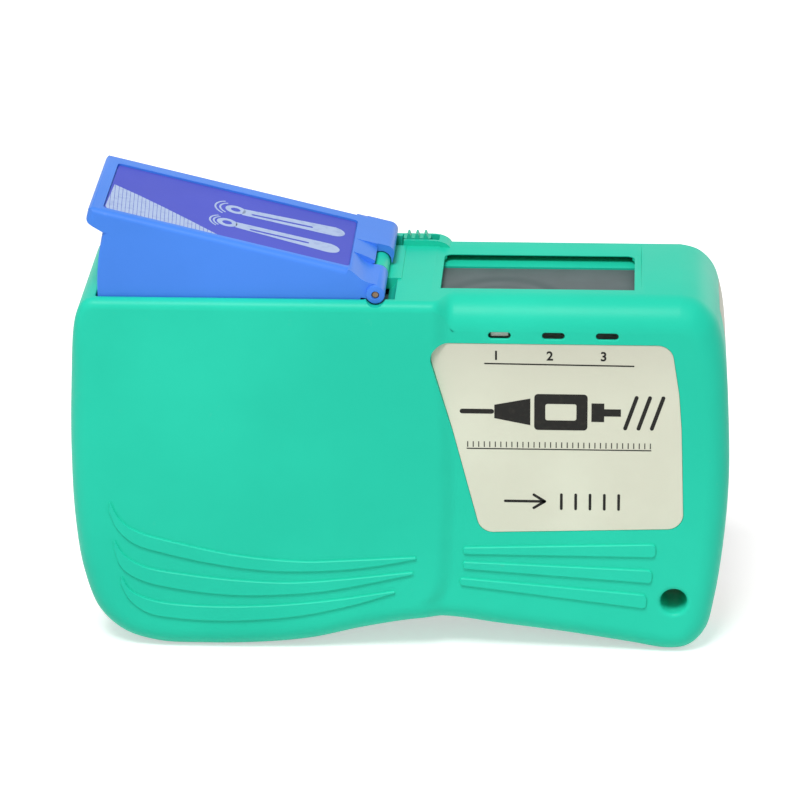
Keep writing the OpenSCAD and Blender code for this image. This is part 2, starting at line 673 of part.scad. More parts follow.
// Where a point of the case lies along the lever at rest
function on_lever(p) = let (x = p[0] - hinge_x, z = p[1] - hinge_z)
    [x * cos(lever_angle) - z * sin(lever_angle), x * sin(lever_angle) + z * cos(lever_angle)];
module lever_side() {
    intersection() {
        circle(lever_r, $fn = 180);
        polygon([[-lever_r - over, -skirt_h], [skirt_x0, -skirt_h], [-skirt_end, -skirt_rise],
            [skirt_in - skirt_end, 0], [-nose, under_plate], [-nose, lever_top],
            [-lever_r - over, lever_top]]);
    }
    polygon([[lip_root - lever_r, -lip_low], [-lever_r, -lip_low], [-lever_r - lip_w, lip_tip],
        [-lever_r - lip_w, lever_top], [lip_root - lever_r, lever_top]]);
}
module lever_section() {
    offset(r = top_r) offset(delta = -top_r) polygon([[lever_y0, -skirt_h - 2 * lever_wall],
        [lever_y0, lever_top], [lever_y1, lever_top], [lever_y1, -skirt_rise],
        [lever_y1 - rear_step, -skirt_rise - rear_step],
        [lever_y1 - rear_step, -skirt_h - 2 * lever_wall]]);
}
// The finger that carries the drive pawl, the leg that pushes the crank, and the right end
pawl_r = 19.5;
pawl_bore = 1;
finger_start = 13;
finger_s = 2.4;
finger_top = 1;
finger_low = 4;
finger_knee_s = 7.5;
finger_knee = 7;
eye_drop = 0.5;
leg_top = 5;
leg_left = 10.14;
leg_right = 2.14;
foot_left = 7.64;
foot_left_up = 0.59;
foot_right = 1.36;
foot_right_up = 1.99;
shoulder_w = 6.3;
shoulder = 0.7;
shoulder_root = 0.2;
shoulder_s = 2.6;
shoulder_drop = 0.6;
cheek_s = 2.4;
cheek_h = 1.5;
cheek_end = 1.4;
cheek_low = 1.2;
cheek_root = 1.8;
corner_cut = 0.1;
corner_low = 2.2;
brace_s = 3;
brace_t = 0.4;
brace_h = 1;
brace_front = 1.8;
brace_back = 3;
brace_y0 = tab_y1 + brace_front;
brace_y1 = lever_y1 - brace_back;
spring_s = -spring_in;
leg_at = on_lever(push_pin);
module lever() {
    color("cornflowerblue") raised() difference() {
        union() {
            difference() {
                intersection() {
                    along_y(lever_y0, lever_y1) lever_side();
                    along_x(-lever_r - lip_w - over, over) lever_section();
                }
                along_y(lever_y0 + lever_wall, lever_y1 - lever_wall) polygon([
                    [lever_wall - lever_r, -skirt_rise - rear_step], [lever_wall - lever_r, under_plate],
                    [over, under_plate], [over, -skirt_rise - rear_step]]);
                along_y(lever_y0 + lever_wall, lever_y1 - rear_step - lever_wall) polygon([
                    [lever_wall - lever_r, -skirt_h - over], [lever_wall - lever_r, 0],
                    [over, 0], [over, -skirt_h - over]]);
                block(shoulder - skirt_end, over, lever_y0 - over, knuckle_y1 + shoulder_w, -knuckle_r,
                    lever_top + over);
                block(shoulder - skirt_end, over, lever_y0 - over, knuckle_y2, -lever_top, under_plate);
            }
            right_end();
            pawl_finger();
            push_leg();
            spring_brace();
        }
        rod(0, 0, knuckle_y0 - over, lever_y1 + over, pin_r + fit);
        rod(0, -pawl_r, lever_y0 - over, mech_y0, pawl_bore + core_fit);
        block(pocket_s0, pocket_s1, label_y0, label_y1, lever_top - label_pocket, lever_top + over);
    }
}
module right_end() {
    s0 = shoulder_root - skirt_end;
    s1 = shoulder - skirt_end;
    along_y(lever_y0, knuckle_y1) polygon([[s0, lever_top], [s1, lever_top], [-cheek_s, cheek_h],
        [0, cheek_end], [0, -cheek_low], [s0, -cheek_root]]);
    rod(0, 0, knuckle_y0, knuckle_y1, knuckle_r);
    along_y(knuckle_y1 - over, knuckle_y1 + shoulder_w) polygon([[s0, lever_top], [s1, lever_top],
        [-shoulder_s, lever_top - shoulder_drop], [-shoulder_s, under_plate], [s0, under_plate]]);
    along_y(knuckle_y2, lever_y1 - corner_cut) union() {
        circle(lever_top);
        polygon([[-skirt_end, lever_top - corner_cut], [0, lever_top - corner_cut], [0, -corner_low],
            [-skirt_end, -skirt_rise]]);
    }
}
module pawl_finger() {
    along_y(lever_y0, lever_y0 + lever_wall) polygon([[-finger_start, -finger_top],
        [-finger_s, -finger_top], [-finger_s, finger_low - pawl_r], [eye_r, -pawl_r],
        [-eye_r, -pawl_r - eye_drop], [-finger_knee_s, finger_knee - pawl_r]]);
    rod(0, -pawl_r, lever_y0, lever_y0 + lever_wall, eye_r);
}
module push_leg() {
    along_y(lever_y0, lever_y0 + lever_wall) polygon([[leg_at[0] - leg_left, -leg_top],
        [leg_at[0] - leg_right, -leg_top], [leg_at[0] + foot_right, leg_at[1] + foot_right_up],
        [leg_at[0] - foot_left, leg_at[1] + foot_left_up]]);
}
module spring_brace() {
    along_y(brace_y0, brace_y1) polygon([[spring_s - brace_s, under_plate + over],
        [spring_s - brace_s, under_plate - brace_h], [spring_s - brace_s + brace_t, under_plate - brace_h],
        [spring_s - brace_s + brace_t, under_plate + over]]);
}
module lever_label() {
    color("slateblue") raised() block(pocket_s0 + slide, pocket_s1 - slide, label_y0 + slide,
        label_y1 - slide, lever_top - label_pocket, lever_top - label_pocket + film_t);
}
module hinge_pin() {
    color("silver") rod(hinge_x, hinge_z, knuckle_y0 + slide, lever_y1 - slide, pin_r);
}

// The return spring of the lever, one coil of round wire on a helix
spring_r = 2.2;
wire_r = 0.3;
spring_turns = 5;
spring_steps = 20;
wire_sides = 6;
spring_h = 11.3;
spring_points = [for (i = [0 : spring_turns * spring_steps], j = [0 : wire_sides - 1])
    let (a = i * 360 / spring_steps, b = j * 360 / wire_sides, r = spring_r + wire_r * cos(b))
    [spring_x + r * cos(a), spring_y + r * sin(a), spring_z + wire_r
        + (spring_h - 2 * wire_r) * i / (spring_turns * spring_steps) + wire_r * sin(b)]];
spring_faces = concat([[for (j = [wire_sides - 1 : -1 : 0]) j]],
    [for (i = [0 : spring_turns * spring_steps - 1], j = [0 : wire_sides - 1], h = [0, 1])
        let (a = i * wire_sides, k = (j + 1) % wire_sides)
        h == 0 ? [a + j, a + k, a + k + wire_sides] : [a + j, a + k + wire_sides, a + j + wire_sides]],
    [[for (j = [0 : wire_sides - 1]) spring_turns * spring_steps * wire_sides + j]]);
module lever_spring() {
    color("gray") polyhedron(spring_points, spring_faces);
}

// The shutter under the window, its tongue and the slotted tab that the crank moves
tab_w = 6.8;
tab_low = 3;
tab_slot = 0.6;
slot_low = 0.2;
shutter_left = 0.5;
shutter_right = 0.6;
tongue_lap = 1.4;
tongue_back = 2;
module shutter() {
    color("slategray") difference() {
        union() {
            block(window_x0 - shutter_left, window_x1 + shutter_right, shutter_y0, shutter_y1,
                shutter_z - shutter_t, shutter_z);
            block(tip_x - tab_w / 2, window_x0 + tongue_lap, tab_y0, shutter_y0 + tongue_back,
                shutter_z - shutter_t, shutter_z);
            block(tip_x - tab_w / 2, tip_x + tab_w / 2, tab_y0, tab_y1, tip_z - tab_low, shutter_z);
        }
        block(tip_x - tip_r - tab_slot, tip_x + tip_r + tab_slot, tab_y0 - over, tab_y1 + tip_r,
            tip_z - tip_r - slot_low, shutter_z + over);
    }
}
crank_w = 3;
crank_hub_r = 3;
head_seat = 0.55;
head_play = 0.1;
module shutter_crank() {
    color("dimgray") difference() {
        union() {
            along_y(mech_y0, crank_y1) translate([crank_x, crank_z]) {
                circle(crank_hub_r);
                rotate(-crank_swing) {
                    translate([-crank_w / 2, 0]) square([crank_w, crank_l]);
                    translate([0, crank_l]) circle(crank_w / 2);
                    translate([-crank_s, -crank_w / 2]) square([crank_s, crank_w]);
                    translate([-crank_s, 0]) circle(crank_w / 2);
                }
            }
            rod(tip_x, tip_z, mech_y0 + over, tab_y1 - tab_play, tip_r);
            rod(push_pin[0], push_pin[1], lever_y0 + tab_play, mech_y0 + over, push_r);
        }
        rod(crank_x, crank_z, mech_y0 - over, crank_y1 + over, screw_r + fit);
        rod(crank_x, crank_z, mech_y0 - over, mech_y0 + head_seat, head_r + head_play);
    }
}

// Ratchet: the drive pawl on the lever's finger, the wheel on the take-up spindle and the stop pawl
pawl_x = hinge_x - pawl_r * sin(lever_angle);
pawl_z = hinge_z - pawl_r * cos(lever_angle);
tip_before = 3;
tip_over = 0.9;
tip_end = 0.3;
tip_height = 3;
tip_back = 0.8;
arm_root = 1;
arm_edge = 0.2;
arm_s = 8;
arm_fall = 5.5;
arm_w = 3;
pawl_tip_x = takeup_x - tip_before;
pawl_tip_z = takeup_z + ratchet_r + tip_over;
module drive_pawl() {
    color("dimgray") difference() {
        union() {
            rod(pawl_x, pawl_z, mech_y0, mech_y0 + ratchet_t, eye_r);
            along_y(mech_y0, mech_y0 + ratchet_t) polygon([
                [pawl_x - arm_root, pawl_z - eye_r + arm_edge], [pawl_x + arm_s, pawl_z - arm_fall],
                [pawl_tip_x - tip_height, pawl_tip_z + tip_back], [pawl_tip_x, pawl_tip_z],
                [pawl_tip_x + tip_end, pawl_tip_z + tip_height],
                [pawl_x + arm_s + arm_root, pawl_z - arm_fall + arm_w],
                [pawl_x + arm_root, pawl_z + eye_r - arm_edge]]);
        }
        rod(pawl_x, pawl_z, mech_y0 - over, mech_y0 + ratchet_t + over, pawl_bore + fit);
    }
}
pin_head = 0.6;
pin_head_t = 0.4;
module pawl_pin() {
    y1 = mech_y0 + ratchet_t + slide;
    color("silver") {
        rod(pawl_x, pawl_z, lever_y0 + slide, y1 + pin_head_t / 2, pawl_bore);
        rod(pawl_x, pawl_z, y1, y1 + pin_head_t, pawl_bore + pin_head);
    }
}
tooth_h = 1.7;
tooth_back_share = 0.04;
shaft_square = 2.55;
square_play = 0.05;
module ratchet_wheel() {
    color("dimgray") along_y(mech_y0, mech_y0 + ratchet_t) translate([takeup_x, takeup_z]) difference() {
        polygon([for (i = [0 : ratchet_teeth - 1], h = [0, 1])
            let (a = (i + h * tooth_back_share) * 360 / ratchet_teeth, r = ratchet_r - h * tooth_h)
            [r * cos(a), r * sin(a)]]);
        square(shaft_square + square_play, center = true);
    }
}
stop_angle = 50;
stop_gap = 0.5;
stop_back = 1.5;
stop_nose = 0.6;
stop_w = 2;
stop_low = 0.4;
tail_l = 8;
tail_low = 1.4;
tail_top = 2.1;
tail_end = 4;
tail_t = 0.6;
stop_tip = [takeup_x + (ratchet_r + stop_gap) * cos(stop_angle),
    takeup_z + (ratchet_r + stop_gap) * sin(stop_angle)];
module stop_pawl() {
    color("dimgray") difference() {
        union() {
            rod(stop_x, stop_z, mech_y0, mech_y0 + ratchet_t, eye_r);
            along_y(mech_y0, mech_y0 + ratchet_t) polygon([[stop_x, stop_z - eye_r + arm_edge],
                [stop_tip[0] + stop_back, stop_tip[1] - stop_low], stop_tip,
                [stop_tip[0] + stop_nose, stop_tip[1] + stop_w], [stop_x, stop_z + eye_r - stop_low]]);
            along_y(mech_y0, mech_y0 + ratchet_t) polygon([[stop_x, stop_z + tail_low],
                [stop_x + tail_l, stop_z + tail_end], [stop_x + tail_l, stop_z + tail_end + tail_t],
                [stop_x, stop_z + tail_top]]);
        }
        rod(stop_x, stop_z, mech_y0 - over, mech_y0 + ratchet_t + over, screw_r + fit);
    }
}
screw_lap = 0.2;
module pivot_screws() {
    stop_y1 = mech_y0 + ratchet_t + slide;
    color("silver") {
        rod(crank_x, crank_z, mech_y0 + fit, mech_y0 + head_t, head_r);
        rod(crank_x, crank_z, mech_y0 + screw_lap, crank_y1 + slide, screw_r);
        rod(crank_x, crank_z, crank_y1, tab_y1 + slide, screw_core);
        rod(stop_x, stop_z, y_cavity - gap, mech_y0, screw_core);
        rod(stop_x, stop_z, mech_y0 - slide, stop_y1 + slide, screw_r);
        rod(stop_x, stop_z, stop_y1, stop_y1 + head_t + slide, head_r);
    }
}

// The cartridge: plate with bridge and spindle, guide plate, pad, tape, rollers and reels
hub_bore = 3;
hub_cap = 0.6;
hub_seat = 1.5;
drive_w = 5;
drive_play = 0.1;
bridge_down = 9.4;
bridge_t = 1.7;
bridge_leg = 3;
bridge_z0 = z_top - bridge_down;
bridge_z1 = bridge_z0 + bridge_t;
pad_in = 0.6;
pad_edge = 0.5;
pad_x0 = window_x0 + pad_in;
pad_x1 = window_x1 - pad_in;
pad_y0 = tape_y - tape_w / 2 + pad_edge;
pad_y1 = tape_y + tape_w / 2 - pad_edge;
roller_play = 0.2;
roller_y0 = tape_y - tape_w / 2 - roller_play;
roller_y1 = tape_y + tape_w / 2 + roller_play;
roller_pin_r = 0.9;
roller_head = 0.5;
bracket_t = 1;
guide_down = 4.2;
guide_t = 1;
guide_z = z_top - guide_down;
shoulder_down = 5.6;
plate_end = 3;
plate_low = 9;
plate_left = 5;
plate_over = 1.5;
plate_side = 1;
plate_step = 4;
tab_reach = 1;
indicator_w = 3.2;
indicator_h = 0.9;
// Edge of the cartridge plate: round the supply reel, up to the bridge, and down round the other reel
supply_arc_shares = [[0.75, -0.75], [0.45, -0.97], [-0.45, -0.97], [-0.8, -0.7], [-1, 0], [-0.94, 0.66]];
takeup_arc_shares = [[1, -0.5], [0.7, -0.84], [-0.6, -0.8]];
top_share = 0.4;
plate_points = concat(
    [for (s = supply_arc_shares) [supply_x + s[0] * supply_r, supply_z + s[1] * supply_r]],
    [[supply_x - supply_r * top_share, supply_z + supply_r + plate_over],
        [roller_x0 - plate_left, z_top - shoulder_down], [pad_x0 - bracket_t, z_top - shoulder_down],
        [pad_x0 - bracket_t, guide_z], [pad_x1 + bracket_t, guide_z],
        [pad_x1 + bracket_t, z_top - shoulder_down], [roller_x1 + plate_end, z_top - shoulder_down],
        [roller_x1 + plate_end, z_top - plate_low], [takeup_x + takeup_r + plate_side, takeup_z + plate_step]],
    [for (s = takeup_arc_shares) [takeup_x + s[0] * takeup_r, takeup_z + s[1] * takeup_r]]);
module cartridge_frame() {
    color("whitesmoke") difference() {
        union() {
            along_y(frame_y0, frame_y1) polygon(plate_points);
            rod(supply_x, supply_z, frame_y1 - over, reel_y1 + hub_cap, hub_bore);
            rod(supply_x, supply_z, frame_y1 - over, reel_y0 - slide, hub_bore + hub_seat);
            block(pad_x0 - bracket_t, pad_x1 + bracket_t, frame_y1 - over, pad_y1, bridge_z0, bridge_z1);
            for (x = [pad_x0 - bracket_t, pad_x1])
                block(x, x + bracket_t, frame_y1 - over, roller_y0 + hub_cap, bridge_z0, guide_z);
            for (x = [pad_x0, pad_x1])
                block(x - bracket_t, x + bracket_t, frame_y1 - over, pad_y1, bridge_z0 - bridge_leg, bridge_z1);
            block(slot_x - indicator_w / 2, slot_x + indicator_w / 2, y_cavity - tab_reach,
                frame_y1 - over, slot_z - indicator_h / 2, slot_z + indicator_h / 2);
        }
        for (p = posts) rod(p[0], p[1], frame_y0 - over, frame_y1 + over, post_r / 2 + fit);
        rod(takeup_x, takeup_z, frame_y0 - over, frame_y1 + over, drive_w / 2 + hub_seat);
        for (x = [roller_x0, roller_x1]) rod(x, roller_z, frame_y0 - over, frame_y1 + over,
            roller_pin_r + core_fit);
    }
}
guide_rim = 0.4;
ferrule_shares = [0.4, 0.8];
ferrule_w = 9;
ferrule_h = 5;
ferrule_round = 2.2;
module guide_plate() {
    color("white") difference() {
        block(pad_x0 - bracket_t, pad_x1 + bracket_t, frame_y0, roller_y1 + guide_rim, guide_z,
            guide_z + guide_t);
        for (s = ferrule_shares) translate([mix(pad_x0, pad_x1, s), tape_y, guide_z - over])
            linear_extrude(guide_t + 2 * over) rounded(ferrule_w, ferrule_h, ferrule_round);
    }
}
tape_lift = 0.05;
module cleaning_pad() {
    color("darkgray") block(pad_x0, pad_x1, pad_y0, pad_y1, bridge_z1, tape_z - tape_lift);
}
// The tape runs from the supply roll over both rollers to the take-up roll
arc_steps = [3, 9];
function side_of(c0, r0, c1, r1) = atan2(c1[1] - c0[1], c1[0] - c0[0])
    + acos((r0 - r1) / norm(c1 - c0));
supply_roll_r = supply_r - supply_spare;
takeup_roll_r = hub_r + used_tape;
supply_c = [supply_x, supply_z];
takeup_c = [takeup_x, takeup_z];
roller_c0 = [roller_x0, roller_z];
roller_c1 = [roller_x1, roller_z];
tape_a0 = side_of(supply_c, supply_roll_r, roller_c0, roller_r);
tape_a1 = side_of(roller_c1, roller_r, takeup_c, takeup_roll_r);
function tape_line(e) = concat(
    [supply_c + (supply_roll_r + e) * [cos(tape_a0), sin(tape_a0)]],
    [for (i = [0 : arc_steps[0]]) let (a = mix(tape_a0, 90, i / arc_steps[0]))
        roller_c0 + (roller_r + e) * [cos(a), sin(a)]],
    [for (i = [0 : arc_steps[1]]) let (a = mix(90, tape_a1, i / arc_steps[1]))
        roller_c1 + (roller_r + e) * [cos(a), sin(a)]],
    [takeup_c + (takeup_roll_r + e) * [cos(tape_a1), sin(tape_a1)]]);
function backwards(l) = [for (i = [len(l) - 1 : -1 : 0]) l[i]];
module cleaning_tape() {
    color("white") along_y(tape_y - tape_w / 2, tape_y + tape_w / 2)
        polygon(concat(tape_line(tape_lift + tape_t), backwards(tape_line(tape_lift))));
}
module roller(x) {
    color("gainsboro") ring(x, roller_z, roller_y0, roller_y1, roller_r, roller_pin_r + fit);
}
module roller_left() { roller(roller_x0); }
module roller_right() { roller(roller_x1); }
module roller_pins() {
    color("silver") for (x = [roller_x0, roller_x1]) {
        rod(x, roller_z, frame_y0 + slide, roller_y1 + gap, roller_pin_r);
        rod(x, roller_z, roller_y1 + slide, roller_y1 + hub_cap, roller_pin_r + roller_head);
    }
}
module reel_body(x, z, r) {
    rod(x, z, reel_y0, reel_y1, hub_r);
    rod(x, z, reel_y0, reel_y0 + flange_t, r);
    rod(x, z, reel_y1 - flange_t, reel_y1, r);
}
module supply_reel() {
    color("lightgray") difference() {
        reel_body(supply_x, supply_z, supply_r);
        rod(supply_x, supply_z, reel_y0 - over, reel_y1 + over, hub_bore + fit);
    }
}
module takeup_reel() {
    color("lightgray") difference() {
        reel_body(takeup_x, takeup_z, takeup_r);
        along_y(reel_y0 - over, reel_y1 + over) translate([takeup_x, takeup_z])
            square(drive_w + drive_play, center = true);
    }
}
roll_side = 0.05;
roll_seat = 0.03;
module roll(x, z, r) {
    ring(x, z, reel_y0 + flange_t + roll_side, reel_y1 - flange_t - roll_side, r, hub_r + roll_seat);
}
module supply_roll() { color("white") roll(supply_x, supply_z, supply_roll_r); }
module takeup_roll() { color("gainsboro") roll(takeup_x, takeup_z, takeup_roll_r); }
shaft_head = 1.3;
module takeup_spindle() {
    color("dimgray") {
        rod(takeup_x, takeup_z, y_cavity - wall / 2 + slide, mech_y0 - roll_side, shaft_r);
        along_y(mech_y0 - screw_seat, mech_y0 + ratchet_t + gap) translate([takeup_x, takeup_z])
            square(shaft_square, center = true);
        rod(takeup_x, takeup_z, mech_y0 + ratchet_t + roll_side, frame_y1 + screw_lap,
            drive_w / 2 + shaft_head);
        along_y(frame_y1 - over, reel_y1 - screw_seat) translate([takeup_x, takeup_z])
            square(drive_w, center = true);
    }
}

front_case();
rear_cover();
cover_latch();
label_plate();
lever();
lever_label();
hinge_pin();
lever_spring();
shutter();
shutter_crank();
drive_pawl();
stop_pawl();
pivot_screws();
pawl_pin();
cartridge_frame();
guide_plate();
cleaning_pad();
cleaning_tape();
roller_left();
roller_right();
roller_pins();
takeup_spindle();
ratchet_wheel();
takeup_reel();
takeup_roll();
supply_reel();
supply_roll();
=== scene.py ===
"""Looks of the hand-held fibre connector cleaner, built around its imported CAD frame, in metres."""
import math

import bmesh
import bpy
import numpy as np
from mathutils import Matrix, Vector


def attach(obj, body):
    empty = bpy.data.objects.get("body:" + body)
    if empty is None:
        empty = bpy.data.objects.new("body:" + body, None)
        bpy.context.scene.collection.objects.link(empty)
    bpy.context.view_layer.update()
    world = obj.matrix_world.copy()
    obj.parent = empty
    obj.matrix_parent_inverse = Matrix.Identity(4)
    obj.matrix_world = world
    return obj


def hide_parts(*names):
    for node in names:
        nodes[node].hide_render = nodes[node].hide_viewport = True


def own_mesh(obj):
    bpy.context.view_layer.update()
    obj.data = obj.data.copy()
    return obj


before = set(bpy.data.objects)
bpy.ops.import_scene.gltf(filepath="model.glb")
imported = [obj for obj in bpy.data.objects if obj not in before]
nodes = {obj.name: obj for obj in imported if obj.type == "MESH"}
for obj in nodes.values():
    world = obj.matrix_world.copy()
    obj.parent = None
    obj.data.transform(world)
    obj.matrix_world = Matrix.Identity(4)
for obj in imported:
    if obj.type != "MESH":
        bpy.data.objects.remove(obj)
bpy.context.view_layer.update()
scene = bpy.context.scene
mm = 0.001

# Camera. The photograph looks at the front face from a little to the right and from above,
# with a long lens. It leans by half a degree.
look_az, look_el, look_roll = (math.radians(a) for a in (3.304, 22.5, -0.504))
look_at = Vector((-0.505, 0, 43.744)) * mm
look_from = 774.27 * mm
back = Vector((math.sin(look_az) * math.cos(look_el), -math.cos(look_az) * math.cos(look_el), math.sin(look_el)))
side = Vector((math.cos(look_az), math.sin(look_az), 0))
rise = back.cross(side)
across = side * math.cos(look_roll) + rise * math.sin(look_roll)
upward = rise * math.cos(look_roll) - side * math.sin(look_roll)


def placed(name, data):
    """A new object in the scene, at the origin."""
    thing = bpy.data.objects.new(name, data)
    scene.collection.objects.link(thing)
    return thing


camera = placed("camera", bpy.data.cameras.new("camera"))
camera.data.lens = 189
camera.data.sensor_width = 36
camera.data.clip_end = 20
turned = Matrix((across, upward, back)).transposed().to_4x4()
camera.matrix_world = Matrix.Translation(look_at + back * look_from) @ turned
scene.camera = camera
scene.view_settings.view_transform = "Standard"


# Studio. The case stands on a plain sheet of white paper in an even white room. One wide lamp hangs high in
# front and a little to the left. Two weak ones fill from the front and from behind. The shadow stays soft.
class Flow:
    """A socket of a node tree. Sums, differences and products on it add Math nodes."""

    def __init__(self, tree, socket=None):
        self.tree, self.socket = tree, socket

    def node(self, kind, settings=None, sockets=None, out=0):
        n = self.tree.nodes.new(kind)
        for key, value in (settings or {}).items():
            setattr(n, key, value)
        for key, value in (sockets or {}).items():
            if isinstance(value, Flow):
                self.tree.links.new(value.socket, n.inputs[key])
            else:
                n.inputs[key].default_value = value
        return Flow(self.tree, n.outputs[out] if n.outputs else None)

    def math(self, operation, *values):
        return self.node("ShaderNodeMath", {"operation": operation}, dict(enumerate(values)))

    def __add__(self, other):
        return self.math("ADD", self, other)

    def __radd__(self, other):
        return self.math("ADD", other, self)

    def __sub__(self, other):
        return self.math("SUBTRACT", self, other)

    def __rsub__(self, other):
        return self.math("SUBTRACT", other, self)

    def __mul__(self, other):
        return self.math("MULTIPLY", self, other)

    def __rmul__(self, other):
        return self.math("MULTIPLY", other, self)

    def step(self, low, high):
        """0 below low and 1 above high, with a soft change between."""
        return self.node("ShaderNodeMapRange", {"interpolation_type": "SMOOTHSTEP"},
                         {"Value": self, "From Min": low, "From Max": high})

    def mix(self, a, b):
        """Colour a where this is 0 and colour b where it is 1."""
        return self.node("ShaderNodeMix", {"data_type": "RGBA"}, {"Factor": self, "A": a, "B": b}, out=2)

    def part(self, name):
        """X, Y or Z of a vector."""
        split = self.node("ShaderNodeSeparateXYZ", {}, {0: self})
        return Flow(self.tree, split.socket.node.outputs[name])


def surface(name):
    """A new material and its empty tree."""
    material = bpy.data.materials.new(name)
    material.use_nodes = True
    material.node_tree.nodes.clear()
    return material, Flow(material.node_tree)


def seen_directly(flow):
    """1 where the camera, a gloss or a clear pane looks, and 0 for soft light."""
    path = flow.node("ShaderNodeLightPath").socket.node.outputs
    look, gloss, clear = (Flow(flow.tree, path[f"Is {way} Ray"]) for way in ("Camera", "Glossy", "Transmission"))
    seen = look + gloss + clear
    return seen.math("MINIMUM", seen, 1.0)


paper_half, paper_lift = 3, 0.5
room_light, room_white = 0.36, 1.0
lamp_far, lamp_aim = 1.3, Vector((0, 0, 0.04))
sheet = bpy.data.meshes.new("floor")
sheet.from_pydata([(x * paper_half, y * paper_half, 0) for x, y in ((-1, -1), (1, -1), (1, 1), (-1, 1))], [],
                  [(0, 1, 2, 3)])
floor = placed("floor", sheet)
paper, flow = surface("white_paper")
flow.node("ShaderNodeOutputMaterial", {}, {"Surface": flow.node("ShaderNodeBsdfPrincipled", {}, {
    "Base Color": (0.8, 0.8, 0.8, 1), "Roughness": 0.9, "Emission Strength": paper_lift,
    "Emission Color": seen_directly(flow).mix((0, 0, 0, 1), (1, 1, 1, 1))})})
sheet.materials.append(paper)
scene.world = bpy.data.worlds.new("studio")
scene.world.use_nodes = True
scene.world.node_tree.nodes.clear()
flow = Flow(scene.world.node_tree)
dim, bright = (flow.node("ShaderNodeBackground", {}, {"Color": (1, 1, 1, 1), "Strength": strength})
               for strength in (room_light, room_white))
flow.node("ShaderNodeOutputWorld", {}, {"Surface": flow.node("ShaderNodeMixShader", {}, {
    0: seen_directly(flow), 1: dim, 2: bright})})

for name, azimuth, elevation, size, power in (
        ("high_lamp", -15, 61, 0.45, 13.2), ("front_lamp", 5, 12, 1.0, 1.0), ("rear_lamp", 140, 10, 0.8, 2.3)):
    az, el = math.radians(azimuth), math.radians(elevation)
    lamp_way = Vector((math.sin(az) * math.cos(el), -math.cos(az) * math.cos(el), math.sin(el)))
    lamp = bpy.data.lights.new(name, "AREA")
    lamp.shape, lamp.size, lamp.energy = "SQUARE", size, power
    holder = placed(name, lamp)
    holder.matrix_world = (Matrix.Translation(lamp_aim + lamp_way * lamp_far)
                           @ lamp_way.to_track_quat("Z", "Y").to_matrix().to_4x4())


# Front case. One injection moulding of satin green plastic holds the mechanism. Its outline is a smooth
# curve, its edges are rounded by a radius that changes round the outline, and its front face steps back
# from the left part to the right part. The rear cover closes it from behind.
case_w, case_d, case_h, wall, gap = 120, 34, 69.2, 2, 0.3
half_w, y_back = case_w / 2, case_d / 2
past_x, past_y, past_z = half_w + 1, 18, -1
hair = 0.001
y_lobe, y_right, y_inner_back = -16.6, -15.6, 15
part_y, part_z = -1, 62.8
side_edge, lobe_top_edge, right_top_edge, rear_edge = 4.2, 1.8, 5.6, 1.6
top_from, top_over, back_loop = 0.72, 0.25, 0.3
step_x, step_lean, step_blend = 8.3, 1.2, 3.2
curl_x, curl_z, curl_r = -0.1, 16, 8.4
left_side = [(-0.912, 1), (-0.933, 0.995), (-0.949, 0.983), (-0.961, 0.962), (-0.974, 0.917),
             (-0.992, 0.744), (-1, 0.556), (-0.996, 0.361), (-0.975, 0.21), (-0.932, 0.1)]
underside = [(-0.858, 0.036), (-0.75, 0.005), (-0.608, 0), (-0.442, 0.004), (-0.275, 0.02), (-0.125, 0.052),
             (0, 0.074), (0.067, 0.082), (0.133, 0.084), (0.2, 0.079), (0.283, 0.068), (0.508, 0.043),
             (0.7, 0.017), (0.825, 0.0005), (0.888, 0.011)]
right_side = [(0.938, 0.058), (0.963, 0.145), (0.987, 0.303), (1, 0.491), (0.995, 0.665), (0.982, 0.831),
              (0.967, 0.9), (0.947, 0.947), (0.904, 0.985), (0.845, 1)]
fine_steps, front_loops, rear_loops, smoothings = 8, 9, 6, 10
hinge_x, hinge_z, pin_r, knuckle_r, trough_r = -3.9, 70.25, 0.65, 1.7, 3.6
well_x0, well_x1, well_y0, well_y1 = -54.3, -5.8, -14.5, 15.4
window_x0, window_x1, window_y0, window_y1, dish_h, rim_t = 7.45, 42.35, -8.5, 10.3, 0.5, 0.7
rim_z, under_top = case_h - dish_h - rim_t, case_h - wall
shutter_z, shutter_t = 67.1, 0.8
slot_x, slot_z, slot_pitch, slot_w, slot_h = 18.3, 62.9, 9.65, 4.05, 1.25
strap_x, strap_z, strap_r, strap_tube_r = 50.3, 10.8, 2.43, 4.03
deep_x, pin_room, bore_past = 3.1, 0.06, 18
guard_at, crank_at, stop_at, wheel_at = (-21.5, 36), (-25, 44), (38.5, 42.5), (24, 30)
post_at = ((-44.08, 12.92), (-15.92, 12.92), (36.92, 17.08))
latch_x, latch_y, latch_w, latch_d, latch_travel, hump_h = 2.15, 15, 5, 2.2, 1.3, 1.1
label_corners = [(4.95, 61.4), (49.2, 61.4), (50.7, 51.9), (51.25, 44.98), (51.9, 25.4), (14.9, 24.2), (9.8, 44.43)]
label_round, label_t = 3, 0.35


def soft(t):
    c = np.clip(t, 0, 1)
    return c * c * (3 - 2 * c)


def mix(a, b, t):
    return a + (b - a) * t


def through(points, steps):
    """A smooth curve through all points but the first and the last."""
    found = []
    for a, b, c, d in zip(points, points[1:], points[2:], points[3:]):
        p, q, r = (math.sqrt(np.linalg.norm(v)) for v in (b - a, c - b, d - c))
        m = (c - b) + q * ((b - a) / p - (c - a) / (p + q))
        n = (c - b) + q * ((d - c) / r - (d - b) / (q + r))
        t = (np.arange(steps) / steps)[:, None]
        found.append(b * (2 * t ** 3 - 3 * t ** 2 + 1) + m * (t ** 3 - 2 * t ** 2 + t)
                     + c * (3 * t ** 2 - 2 * t ** 3) + n * (t ** 3 - t ** 2))
    return np.vstack(found + [points[-2][None]])


